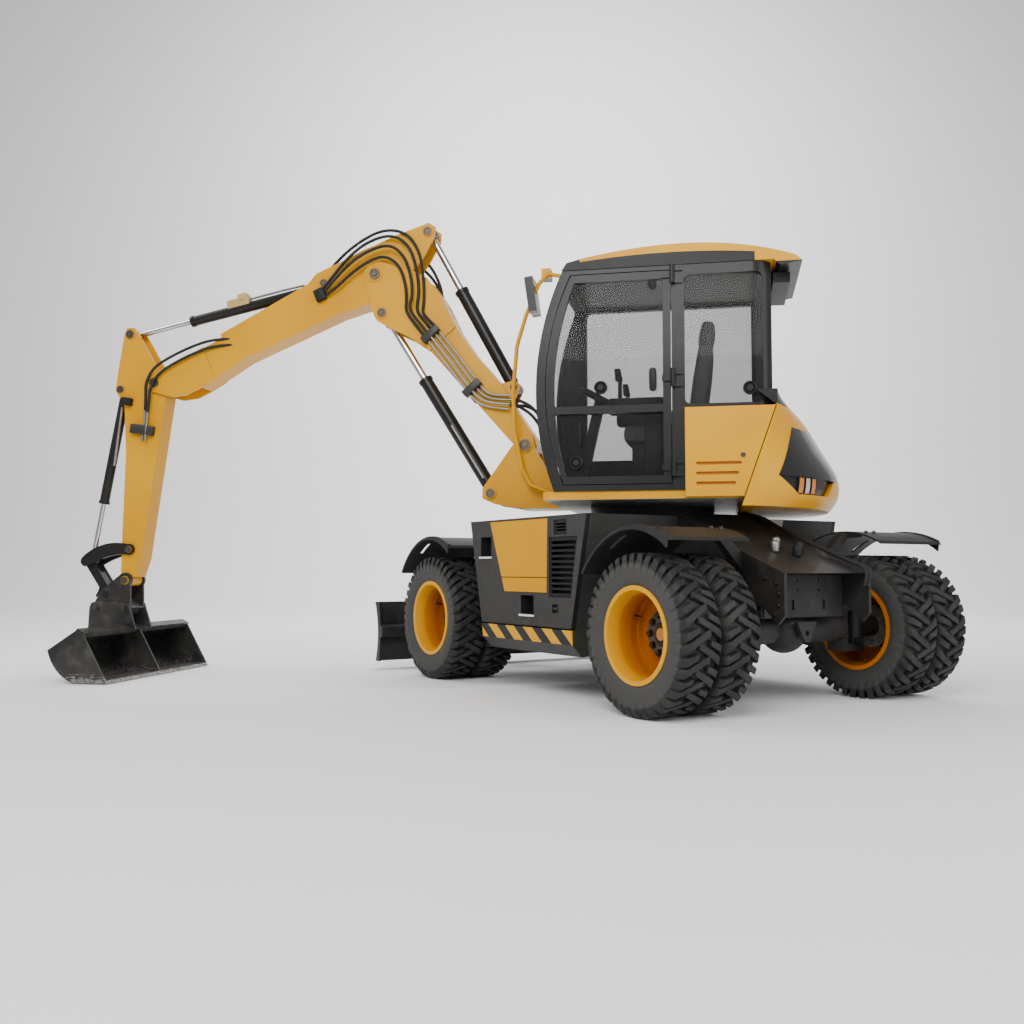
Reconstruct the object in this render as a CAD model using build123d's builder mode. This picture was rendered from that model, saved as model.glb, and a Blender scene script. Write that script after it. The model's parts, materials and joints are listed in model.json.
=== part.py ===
from build123d import *
from math import atan2, cos, degrees, hypot, pi, radians, sin, sqrt
import os

# Wheeled excavator with a two-piece boom, a twin-tyred undercarriage and a wide grading bucket.
# Millimetres. +X is the undercarriage's forward end, +Y its left and +Z up. The origin is on the
# slew axis at ground level, midway between the axles. Each piece of the upper part is drawn with
# the upper facing +X, and each link of the arm with its own pins along X, and is then placed.

# Pose in the photograph, in degrees
SLEW = 47.0
LOWER_BOOM_TILT = 48.9
UPPER_BOOM_TILT = -22.6
DIPPER_TILT = -81.8
LEVER_TILT = -13.8

# Running clearance between parts that move past each other, and the gap between seated faces
CLEAR = 7.0
SEAT_GAP = 0.3

# Wheels, axles and steering
WHEELBASE = 2650.0
TYRE_RADIUS = 490.0
TYRE_WIDTH = 275.0
TYRE_GAP = 30.0
TYRE_OUTER_Y = 1245.0
TYRE_SIDES = 22
TYRE_BODY_RADIUS = 453.0
TYRE_SHOULDER = 24.0
TYRE_SIDE_RADIUS = 415.0
TYRE_BEAD_INSET = 32.0
TYRE_BEAD_RADIUS = 286.0
LUGS = 11
LUG_WIDTH = 54.0
LUG_ANGLE = 28.0
LUG_DEPTH = 62.0
LUG_LENGTH = 112.0
RIM_RADIUS = 297.0
RIM_WALL = 14.0
RIM_WELL_RADIUS = 250.0
HUB_RADIUS = 150.0
HUB_CAP_RADIUS = 38.0
HUB_PROUD = 40.0
HUB_DEPTH = 110.0
RIM_DISC_Y = 10.0
KINGPIN_Y = 690.0
KINGPIN_RADIUS = 34.0
YOKE_HEIGHT = 320.0
YOKE_PLATE = 46.0
YOKE_LENGTH = 170.0
YOKE_HALF = 70.0
JOINT_GAP = 0.4
SPINDLE_RADIUS = 70.0
STEER_ARM = 170.0
STEER_ARM_PLATE = 36.0
AXLE_TUBE_RADIUS = 92.0
DIFF_RADIUS = 155.0

# Chassis
CHASSIS_HALF = 390.0
CHASSIS_PLATE = 22.0
DECK_Z = 1270.0
DECK_HALF = WHEELBASE / 2 - 590.0
BELLY_Z = 430.0
ARCH_Z = 650.0
AXLE_TO_END = 390.0
CHASSIS_END = WHEELBASE / 2 + AXLE_TO_END
END_TOP_Z = 857.0
END_LOW_Z = 545.0
COUPLING_PLATE_X = CHASSIS_END - 225.0

# Side pods
POD_FACE_Y = 1170.0
POD_TOP_Z = 1245.0
POD_LOW_Z = 490.0
POD_TOP_TO_AXLE = 565.0
POD_FOOT_TO_AXLE = 740.0
POD_TOP_HALF = WHEELBASE / 2 - POD_TOP_TO_AXLE
POD_LOW_HALF = WHEELBASE / 2 - POD_FOOT_TO_AXLE
POD_WALL = 30.0
POD_DOOR = 38.0
RAIL_TOP_Z = 478.0
RAIL_MID_Z = 382.0
RAIL_LOW_Z = 300.0

# Pod doors: what their faces carry, measured from the pod's front or rear top corner
PANEL_FRONT = (POD_TOP_HALF - 295.0, POD_TOP_HALF - 505.0)
PANEL_REAR = (-POD_TOP_HALF + 451.0, -POD_TOP_HALF + 462.0)
PANEL_TOP_Z = POD_TOP_Z - 13.0
PANEL_LOW_Z = 720.0
PANEL_SPLIT_Z = 825.0
PANEL_POCKET = 12.0
PANEL_PROUD = 2.0
PANEL_EDGE = 3.0
POD_STEPS = ((POD_TOP_HALF - 314.0, POD_TOP_HALF - 158.0, 975.0, 1121.0), (-134.0, 36.0, 567.0, 700.0))
STEP_DEPTH = 90.0
STEP_SHEET = 6.0
STEP_LIP = 14.0
STEP_LIP_PROUD = 12.0
GRILLE_TOP_Z = 1100.0
GRILLE_LOW_Z = 693.0
GRILLE_FRONT_X = -POD_TOP_HALF + 434.0
GRILLE_REAR = (-POD_TOP_HALF + 100.0, -POD_TOP_HALF + 171.0)
GRILLE_SLOTS = 10
GRILLE_RIM = 20.0
GRILLE_SHEET = 12.0
GRILLE_DEPTH = 6.0
VENT = (-POD_TOP_HALF + 222.0, -POD_TOP_HALF + 376.0, 1114.0, 1215.0)
VENT_SLOTS = 3
LATCH = (-POD_TOP_HALF + 360.0, 617.0)

# Fenders
FENDER_RADIUS = 652.0
FENDER_SHEET = 12.0
FENDER_INNER_Y = 590.0
FENDER_OUTER_Y = 1225.0
FENDER_FRONT_ANGLE = 34.0
FENDER_REAR_ANGLE = 117.0
FENDER_SKIRT = 62.0
FENDER_BRACKET = 60.0
FENDER_BEAD = 8.0
FENDER_SLOT = (180.0, 30.0)
FENDER_SLOT_ANGLE = 62.0

# Blade
BLADE_PIVOT = (CHASSIS_END - 135.0, 565.0)
BLADE_X = CHASSIS_END + 615.0
BLADE_HALF = 1235.0
BLADE_LOW_Z = 66.0
BLADE_TOP_Z = 590.0
BLADE_SHEET = 16.0
BLADE_ARM_Y = 285.0
BLADE_ARM = 40.0
BLADE_CYL_BASE = (BLADE_PIVOT[0], 812.0)
BLADE_CYL_EYE = (BLADE_X - 90.0, 420.0)
BLADE_TUBE = (BLADE_PIVOT[0] + 400.0, 436.0)
BLADE_TUBE_RADIUS = 48.0

# Upper part
RING_RADIUS = 470.0
UPPER_LOW_Z = 1345.0
FLOOR_Z = 1400.0
TAIL_RADIUS = 1365.0
FRAME_TAIL_RADIUS = 1290.0
UPPER_HALF = 1150.0
FRAME_EDGE = 12.0
UPPER_FRONT_X = 660.0
NOSE_HALF = 165.0
NOSE_PLATE = 34.0
NOSE_WEB_X = 1140.0

# Cab
CAB_RIGHT_Y = 195.0
CAB_LEFT_Y = 1150.0
CAB_WALL = 48.0
CAB_CORNER = 130.0
CAB_REAR_X = -865.0
CAB_FRONT_LOW_X = 580.0
CAB_FRONT_MID_X = 702.0
CAB_FRONT_MID_Z = 2110.0
CAB_FRONT_TOP_X = 520.0
CAB_TOP_Z = 2895.0
WAIST_Z = 1945.0
PILLAR_X = -250.0
PILLAR_WIDTH = 84.0
DOOR_GAP = 6.0
DOOR_HINGE = (-215.0, 1178.0)
GLASS = 8.0
ROOF_TOP_Z = 3035.0
ROOF_REAR_X = -1050.0
DOOR_FRONT_INSET = 62.0
DOOR_SILL = 40.0
DOOR_HEAD = 30.0
DOOR_FRAME = 52.0
COWL_FRONT_X = -640.0
COWL_HALF = CAB_LEFT_Y + 22.0
PANEL_GAP = 6.0
PANEL_SLOPE = 0.351
PANEL_FOOT = (-664.0, UPPER_LOW_Z + 7.0)
PANEL_LOCK = (-660.0, 1620.0)
LOUVRES = 3
LOUVRE_PITCH = 65.0
LOUVRE_HEIGHT = 20.0
LOUVRE_DEPTH = 14.0
HINGE_HEIGHTS = (2830.0, 2140.0, 1550.0)
HINGE_KNUCKLE = 16.0
HINGE_LEAF = 14.0
LAMP_SPREAD = 150.0
LAMP_BASE = 1040.0
LAMP_PROUD = 6.0
LAMP_RECESS = 30.0
LAMP_DEPTH = 50.0

# Rear body: (height, reach of the tail behind the slew axis, flat side behind the side panel's edge)
COWL_SECTIONS = (
    (1292.0, TAIL_RADIUS - 75, 70), (1340.0, TAIL_RADIUS - 32, 70), (1420.0, TAIL_RADIUS, 70),
    (1520.0, TAIL_RADIUS - 4, 55), (1660.0, TAIL_RADIUS - 74, 30), (1800.0, TAIL_RADIUS - 160, 15),
    (1930.0, TAIL_RADIUS - 258, 8), (2000.0, TAIL_RADIUS - 355, 8), (2045.0, TAIL_RADIUS - 430, 8),
)

# Tail lamps: outlines as (across, up) on an upright plane that faces LAMP_SPREAD degrees off forward
LAMP_VISOR = (
    (-493.0, 1495.0), (-313.0, 1821.0), (68.0, 1823.0), (250.0, 1690.0), (432.0, 1515.0), (250.0, 1487.0),
)
LAMP_FOOT = ((-493.0, 1495.0), (250.0, 1487.0), (212.0, 1475.0), (125.0, 1379.0), (-288.0, 1378.0))
LAMP_LIGHTS = (-255.0, -180.0, -105.0)
LAMP_LIGHT = (50.0, 1388.0, 1488.0)
SEAT_X = -120.0
SEAT_WIDTH = 500.0
STEERING_RADIUS = 180.0

# Mirror bar: its bends as (forward, up), then the mirror and the work lamp that it carries
MIRROR_BAR = (
    (650.0, 3120.0), (770.0, 3150.0), (840.0, 3070.0), (940.0, 2830.0), (1010.0, 2600.0), (1040.0, 2250.0),
    (1030.0, 1950.0), (970.0, 1650.0), (900.0, 1520.0), (640.0, 1420.0),
)
MIRROR_BAR_RADIUS = 16.0
MIRROR_AT = (887.0, 2975.0)
WORK_LAMP_AT = (785.0, 3155.0)

# Arm: pins as (forward, up) in the frame of the body that carries them
FOOT = (960.0, 1840.0)
LIFT_BASE = (1235.0, 1470.0)
LOWER_BOOM_LENGTH = 1885.0
LIFT_EYE = (LOWER_BOOM_LENGTH - 280.0, -165.0)
LIFT_WELL_Z = -8.0
LIFT_WELL_HALF = 66.0
FOLD_BASE = (426.0, 226.0)
UPPER_BOOM_LENGTH = 2112.0
FOLD_EYE = (-524.0, 140.0)
CROWD_BASE = (431.0, 136.0)
DIPPER_LENGTH = 1677.0
CROWD_EYE = (-390.0, 309.0)
TOOL_CYL_BASE = (87.0, 321.0)
WRIST_BOSS = 48.0
LEVER_PIN = (DIPPER_LENGTH - 261.0, 8.0)
LEVER_LENGTH = 413.0
LINK_PIN = (180.0, -120.0)
BUCKET_PINS = ((-10.0, -235.0), (250.0, -232.0))

# Arm: half widths of the boxes and the plates that straddle them
LOWER_HALF = 115.0
UPPER_BOOM_HALF = 100.0
DIPPER_HALF = 80.0
SIDE_PLATE = 22.0
PIN_RADIUS = 36.0
SMALL_PIN = 28.0
PIN_FIT = 0.4
BUCKET_PIN = 26.0
EYE_HALF = 38.0
BARREL_LUG_Y = 60.0

# Arm: cylinders, as the length of each barrel from its pin to its gland
LIFT_BARREL = 1080.0
FOLD_BARREL = 900.0
CROWD_BARREL = 1220.0
TOOL_BARREL = 960.0
BLADE_BARREL = 540.0
GLAND = 26.0
ROD_FIT = 0.4
BARREL_END = 50.0

# Bucket
BUCKET_HALF = 800.0
BUCKET_SHEET = 16.0
BUCKET_LOW_Z = 6.0
BUCKET_LIP_X = -294.0


def turned(tilt, point):
    """The point (forward, up) after a turn by tilt degrees about the origin."""
    c, s = cos(radians(tilt)), sin(radians(tilt))
    return (c * point[0] - s * point[1], s * point[0] + c * point[1])


def carried(pin, tilt, point):
    """A point in a link's own frame, seen from the frame that holds the link's pin."""
    x, z = turned(tilt, point)
    return (pin[0] + x, pin[1] + z)


def span(a, b):
    """Distance between two pins and the angle of the line from a to b."""
    return hypot(b[0] - a[0], b[1] - a[1]), degrees(atan2(b[1] - a[1], b[0] - a[0]))


# Pins of the whole arm in the upper part's frame, in the pose of the photograph
LIFT_TIP = carried(FOOT, LOWER_BOOM_TILT, LIFT_EYE)
FOLD_FOOT = carried(FOOT, LOWER_BOOM_TILT, FOLD_BASE)
KNEE = carried(FOOT, LOWER_BOOM_TILT, (LOWER_BOOM_LENGTH, 0))
FOLD_TIP = carried(KNEE, UPPER_BOOM_TILT, FOLD_EYE)
CROWD_FOOT = carried(KNEE, UPPER_BOOM_TILT, CROWD_BASE)
ELBOW = carried(KNEE, UPPER_BOOM_TILT, (UPPER_BOOM_LENGTH, 0))
CROWD_TIP = carried(ELBOW, DIPPER_TILT, CROWD_EYE)
TOOL_CYL_FOOT = carried(ELBOW, DIPPER_TILT, TOOL_CYL_BASE)
LEVER_FOOT = carried(ELBOW, DIPPER_TILT, LEVER_PIN)
WRIST = carried(ELBOW, DIPPER_TILT, (DIPPER_LENGTH, 0))
LEVER_TIP = carried(LEVER_FOOT, LEVER_TILT, (LEVER_LENGTH, 0))
LINK_FOOT = carried(WRIST, 0, LINK_PIN)

AXLE_X = WHEELBASE / 2
WHEEL_Z = TYRE_RADIUS
WHEEL_Y = TYRE_OUTER_Y - TYRE_WIDTH - TYRE_GAP / 2
SPINDLE_LENGTH = WHEEL_Y + RIM_DISC_Y - HUB_DEPTH - KINGPIN_Y - JOINT_GAP
UPPER = Location((0, 0, 0), (0, 0, SLEW))
GROUND = Location((0, 0, 0))

os.makedirs("parts", exist_ok=True)


def side(y=0.0):
    """An upright plane at y: x runs forward, y runs up, and extrude goes to the right (-Y)."""
    return Plane(origin=(0, y, 0), x_dir=(1, 0, 0), z_dir=(0, -1, 0))


def link_place(pin, tilt):
    """Where a link of the arm stands: at its pin, turned by its tilt, on the slewed upper part."""
    return UPPER * Location((pin[0], 0, pin[1]), (0, -tilt, 0))


def save(builder, label, place=GROUND, flip=False):
    """Write a node; flip makes the copy for the other side of the middle plane."""
    part = mirror(builder.part, about=Plane.XZ, mode=Mode.PRIVATE) if flip else builder.part
    part = part.moved(place)
    part.label = label
    export_step(part, f"parts/{label}.step")


# Plates, bars and bosses


def prism(builder_plane, points, depth, mode=Mode.ADD):
    """A plate or block: the outline of points on a plane, as deep as depth."""
    with BuildSketch(builder_plane) as face:
        with BuildLine():
            Polyline(*points, close=True)
        make_face()
    return extrude(face.sketch, amount=depth, mode=mode)


def pin_strap(plane, holds, depth):
    """A plate round pins: the hull of circles given as (point, radius), as deep as depth."""
    with BuildSketch(plane) as face:
        for point, radius in holds:
            with Locations(point):
                Circle(radius)
        make_hull()
    return extrude(face.sketch, amount=depth)


def across(point, radius, y_high, y_low, mode=Mode.ADD):
    """A round bar along Y at (x, z) between two values of y."""
    with BuildSketch(side(y_high)) as face:
        with Locations(point):
            Circle(radius)
    return extrude(face.sketch, amount=y_high - y_low, mode=mode)


def through(point, radius, reach, mode=Mode.ADD):
    """A round bar or bore across the middle plane, reaching as far to both sides."""
    return across(point, radius, reach, -reach, mode)


def bosses(point, radius, inner, outer):
    """A round boss on each side between two distances from the middle."""
    for y_high, y_low in ((outer, inner), (-inner, -outer)):
        across(point, radius, y_high, y_low)


def both_sides(inner, outer):
    """Planes and depths of a pair of plates between two distances from the middle."""
    return ((outer, outer - inner), (-inner, outer - inner))


# Undercarriage


def tyre_pair():
    """Two tyres side by side about the origin, with the chevron lugs fused to their treads."""
    reach = (TYRE_WIDTH + TYRE_GAP) / 2
    half = TYRE_WIDTH / 2
    bead = half - TYRE_BEAD_INSET
    sections = (
        # offset from the tyre's middle, radius
        (bead, TYRE_BEAD_RADIUS),
        (half, TYRE_SIDE_RADIUS),
        (half - TYRE_SHOULDER, TYRE_BODY_RADIUS),
        (TYRE_SHOULDER - half, TYRE_BODY_RADIUS),
        (-half, TYRE_SIDE_RADIUS),
        (-bead, TYRE_BEAD_RADIUS),
    )
    # A lug's far corner reaches the tyre's radius, and on one lug it stands at the very bottom
    lean = radians(LUG_ANGLE)
    corner = LUG_LENGTH * sin(lean) + LUG_WIDTH / 2 * cos(lean)
    lug_top = sqrt(TYRE_RADIUS ** 2 - corner ** 2)
    start = degrees(atan2(corner, lug_top)) - 90
    with BuildPart() as pair:
        for middle in (-reach, reach):
            for offset, radius in sections:
                with BuildSketch(side(middle + offset)):
                    RegularPolygon(radius, TYRE_SIDES)
            loft(ruled=True)
            with BuildSketch(side(middle + bead)):
                RegularPolygon(TYRE_BEAD_RADIUS, TYRE_SIDES)
            extrude(amount=2 * bead, mode=Mode.SUBTRACT)
            # The second row of lugs leans the other way, half a step on
            for stagger, tilt in ((0.0, LUG_ANGLE), (0.5, 180 - LUG_ANGLE)):
                lugs = []
                for i in range(LUGS):
                    turn = Location((0, 0, 0), (0, 0, start + 360 / LUGS * (i + stagger)))
                    lean_out = Location((lug_top, 0, 0), (tilt, 0, 0))
                    lug = Box(LUG_DEPTH, LUG_WIDTH, LUG_LENGTH, align=(Align.MAX, Align.CENTER, Align.MIN),
                              mode=Mode.PRIVATE)
                    lugs.append(lug.moved(Location(side(middle)) * turn * lean_out))
                add(lugs)
    return pair


def rim_pair():
    """Two rims on one disc: deep dish outside, hub and cap; +Y is the outer side."""
    reach = (TYRE_WIDTH + TYRE_GAP) / 2
    seat_half = TYRE_WIDTH / 2 - TYRE_BEAD_INSET
    seat = TYRE_BEAD_RADIUS * cos(pi / TYRE_SIDES) - JOINT_GAP
    flange = seat_half + 4
    with BuildPart() as rims:
        for middle in (-reach, reach):
            with BuildSketch(Plane.XY):
                with BuildLine():
                    Polyline(
                        (RIM_RADIUS, middle - flange - RIM_WALL),
                        (RIM_RADIUS, middle - flange),
                        (seat, middle - flange),
                        (seat, middle + flange),
                        (RIM_RADIUS, middle + flange),
                        (RIM_RADIUS, middle + flange + RIM_WALL),
                        (seat - RIM_WALL, middle + flange + RIM_WALL),
                        (RIM_WELL_RADIUS, middle + seat_half - 60),
                        (RIM_WELL_RADIUS, middle - seat_half + 60),
                        (seat - RIM_WALL, middle - flange - RIM_WALL),
                        close=True,
                    )
                make_face()
            revolve(axis=Axis.Y)
        # Band between the rims, disc, hub and cap
        with BuildSketch(side(reach - seat_half)):
            Circle(seat - RIM_WALL + 6)
            Circle(RIM_WELL_RADIUS, mode=Mode.SUBTRACT)
        extrude(amount=2 * (reach - seat_half))
        with BuildSketch(side(RIM_DISC_Y)):
            Circle(RIM_WELL_RADIUS + 4)
        extrude(amount=RIM_WALL)
        with BuildSketch(side(RIM_DISC_Y + HUB_PROUD)):
            Circle(HUB_RADIUS)
        extrude(amount=HUB_PROUD + HUB_DEPTH)
        with BuildSketch(side(RIM_DISC_Y + HUB_PROUD + 26)):
            Circle(HUB_CAP_RADIUS)
        extrude(amount=30)
    return rims


def make_wheels():
    tyres = tyre_pair()
    rims = rim_pair()
    for end, x in (("front", AXLE_X), ("rear", -AXLE_X)):
        for hand, sign in (("left", 1), ("right", -1)):
            place = Location((x, sign * WHEEL_Y, WHEEL_Z))
            save(tyres, f"tyres_{end}_{hand}", place, flip=sign < 0)
            save(rims, f"rims_{end}_{hand}", place, flip=sign < 0)


def make_knuckles():
    """A kingpin post between the yoke's plates, and a spindle out to the hub."""
    post = YOKE_HEIGHT - 2 * YOKE_PLATE - 2 * JOINT_GAP
    with BuildPart() as knuckle:
        Cylinder(KINGPIN_RADIUS + 26, post)
        with BuildSketch(side(SPINDLE_LENGTH)):
            Circle(SPINDLE_RADIUS)
        extrude(amount=SPINDLE_LENGTH)
        with BuildSketch(Plane.XY.offset(-post / 2)):
            with BuildLine():
                Polyline((-22, 0), (-STEER_ARM - 20, -40), (-STEER_ARM - 20, -84),
                         (-STEER_ARM + 24, -84), (34, -30), (34, 0), close=True)
            make_face()
        extrude(amount=STEER_ARM_PLATE)
    for end, x in (("front", AXLE_X), ("rear", -AXLE_X)):
        for hand, sign in (("left", 1), ("right", -1)):
            save(knuckle, f"knuckle_{end}_{hand}", Location((x, sign * KINGPIN_Y, WHEEL_Z)), flip=sign < 0)


def make_axles():
    """Beam with its differential in the middle and a C-shaped yoke at each end."""
    for end, x in (("front", AXLE_X), ("rear", -AXLE_X)):
        with BuildPart() as axle:
            Sphere(DIFF_RADIUS)
            tube = KINGPIN_Y - YOKE_LENGTH
            with BuildSketch(side(tube)):
                Circle(AXLE_TUBE_RADIUS)
            extrude(amount=2 * tube)
            for sign in (1, -1):
                root = sign * (KINGPIN_Y - YOKE_LENGTH)
                with Locations((0, root, 0)):
                    Box(2 * YOKE_HALF, YOKE_PLATE, YOKE_HEIGHT)
                for up in (1, -1):
                    z = up * (YOKE_HEIGHT - YOKE_PLATE) / 2
                    with BuildSketch(Plane.XY.offset(z - YOKE_PLATE / 2)):
                        with Locations((0, sign * KINGPIN_Y)):
                            Circle(KINGPIN_RADIUS + 24)
                        with Locations((0, root)):
                            Rectangle(2 * YOKE_HALF, YOKE_PLATE)
                        make_hull()
                    extrude(amount=YOKE_PLATE)
            with BuildSketch(Plane.XY.offset(DIFF_RADIUS - 30)):
                Rectangle(240, 300)
            extrude(amount=ARCH_Z - WHEEL_Z - DIFF_RADIUS + 30)
        save(axle, f"axle_{end}", Location((x, 0, WHEEL_Z)))


def chassis_outline(inset=0.0):
    """Side view of the chassis, drawn once for the plates and once smaller for the inside."""
    rear = [
        (-DECK_HALF, DECK_Z - inset),
        (-DECK_HALF - 200, DECK_Z - 105 - inset),
        (-CHASSIS_END + inset, END_TOP_Z - inset),
        (-CHASSIS_END + inset, END_LOW_Z + 55 + inset),
        (-CHASSIS_END + 55 + inset / 2, END_LOW_Z + inset),
        (-AXLE_X - 210, ARCH_Z + inset),
        (-AXLE_X + 240, ARCH_Z + inset),
        (-AXLE_X + 400, BELLY_Z + inset),
    ]
    front = [(-x, z) for x, z in reversed(rear)]
    return rear + front


def make_chassis():
    with BuildPart() as chassis:
        prism(side(CHASSIS_HALF), chassis_outline(), 2 * CHASSIS_HALF)
        inner = CHASSIS_HALF - CHASSIS_PLATE
        with BuildSketch(side(inner)):
            with BuildLine():
                Polyline(*chassis_outline(CHASSIS_PLATE), close=True)
            make_face()
        extrude(amount=2 * inner, mode=Mode.SUBTRACT)
        # Open pockets at both ends, behind which the cross plates stand
        for sign in (1, -1):
            with Locations((sign * (CHASSIS_END + COUPLING_PLATE_X) / 2 + sign * 5, 0, 700)):
                Box(CHASSIS_END - COUPLING_PLATE_X + 20, 2 * inner, 314, mode=Mode.SUBTRACT)
            with Locations((sign * COUPLING_PLATE_X, 0, 715)):
                Box(CHASSIS_PLATE, 2 * inner, 2 * 142)
        with BuildSketch(Plane.XY.offset(DECK_Z - CHASSIS_PLATE)):
            Circle(RING_RADIUS + 30)
        extrude(amount=CHASSIS_PLATE)
        # Lugs of the blade's cylinder, and the bores for the pins of its arms
        for y, depth in both_sides(BARREL_LUG_Y, BARREL_LUG_Y + SIDE_PLATE):
            pin_strap(side(y), ((BLADE_CYL_BASE, 44), ((COUPLING_PLATE_X + 5, BLADE_CYL_BASE[1]), 40)), depth)
        through(BLADE_CYL_BASE, SMALL_PIN + PIN_FIT, BARREL_LUG_Y + SIDE_PLATE + 1, Mode.SUBTRACT)
        bosses(BLADE_PIVOT, 58, BLADE_ARM_Y + BLADE_ARM / 2 + CLEAR, CHASSIS_HALF - CHASSIS_PLATE + 2)
        through(BLADE_PIVOT, PIN_RADIUS + PIN_FIT, CHASSIS_HALF + 1, Mode.SUBTRACT)
    save(chassis, "chassis_frame")


def make_slew_ring():
    with BuildPart() as ring:
        with BuildSketch(Plane.XY.offset(DECK_Z)):
            Circle(RING_RADIUS)
            Circle(RING_RADIUS - 90, mode=Mode.SUBTRACT)
        extrude(amount=UPPER_LOW_Z - DECK_Z)
    save(ring, "slew_ring")


def pod_outline(inset=0.0):
    """Side view of a pod: upright trapezoid, wider at the top."""
    foot, top = POD_LOW_HALF - inset, POD_TOP_HALF - inset * 1.25
    low, high = POD_LOW_Z + inset, POD_TOP_Z - inset
    return ((-foot, low), (foot, low), (top, high), (-top, high))


def make_pods():
    with BuildPart() as pod:
        prism(side(POD_FACE_Y - POD_DOOR), pod_outline(), POD_FACE_Y - POD_DOOR - CHASSIS_HALF)
        with BuildSketch(side(POD_FACE_Y - POD_DOOR)):
            with BuildLine():
                Polyline(*pod_outline(POD_WALL), close=True)
            make_face()
        extrude(amount=POD_FACE_Y - POD_DOOR - CHASSIS_HALF - POD_WALL, mode=Mode.SUBTRACT)
        # Hazard rail along the foot of the pod
        with BuildSketch(Plane.YZ.offset(-POD_LOW_HALF)):
            with BuildLine():
                Polyline((CHASSIS_HALF, POD_LOW_Z), (POD_FACE_Y - POD_DOOR, POD_LOW_Z),
                         (POD_FACE_Y - POD_DOOR, RAIL_TOP_Z), (POD_FACE_Y, RAIL_TOP_Z),
                         (POD_FACE_Y - 12, RAIL_MID_Z), (POD_FACE_Y - 85, RAIL_LOW_Z),
                         (CHASSIS_HALF, RAIL_LOW_Z + 60), close=True)
            make_face()
        extrude(amount=2 * POD_LOW_HALF)
    with BuildPart() as engine:
        with Locations((0, (CHASSIS_HALF + POD_FACE_Y) / 2 - 20, POD_LOW_Z + POD_WALL + SEAT_GAP)):
            Box(2 * POD_LOW_HALF - 260, POD_FACE_Y - CHASSIS_HALF - 220, POD_TOP_Z - POD_LOW_Z - 160,
                align=(Align.CENTER, Align.CENTER, Align.MIN))
    for hand, sign in (("left", 1), ("right", -1)):
        save(pod, f"pod_{hand}", flip=sign < 0)
    save(engine, "engine_block")


def panel_outline():
    return ((PANEL_FRONT[0], PANEL_TOP_Z), (PANEL_REAR[0], PANEL_TOP_Z), (PANEL_REAR[1], PANEL_LOW_Z),
            (PANEL_FRONT[1], PANEL_LOW_Z))


def grille_outline():
    return ((GRILLE_FRONT_X, GRILLE_TOP_Z), (GRILLE_REAR[0], GRILLE_TOP_Z), (GRILLE_REAR[1], GRILLE_LOW_Z),
            (GRILLE_FRONT_X, GRILLE_LOW_Z))


def vent_outline():
    rear, front, low, high = VENT
    return ((front, high), (rear, high), (rear, low), (front, low))


def slats(outline, count, depth):
    """Cut rows of slots through a grille, each as long as the outline leaves room for at its height."""
    (front, high), (rear_top, _), (rear_low, low), _ = outline
    pitch = (high - low - 2 * GRILLE_RIM) / count
    with BuildSketch(side(POD_FACE_Y)) as slots:
        for row in range(count):
            z = low + GRILLE_RIM + (row + 0.5) * pitch
            rear = rear_low + (rear_top - rear_low) * (z - low) / (high - low) + GRILLE_RIM
            with Locations(((rear + front - GRILLE_RIM) / 2, z)):
                Rectangle(front - GRILLE_RIM - rear, pitch * 0.6)
    extrude(slots.sketch, amount=depth, mode=Mode.SUBTRACT)


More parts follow.
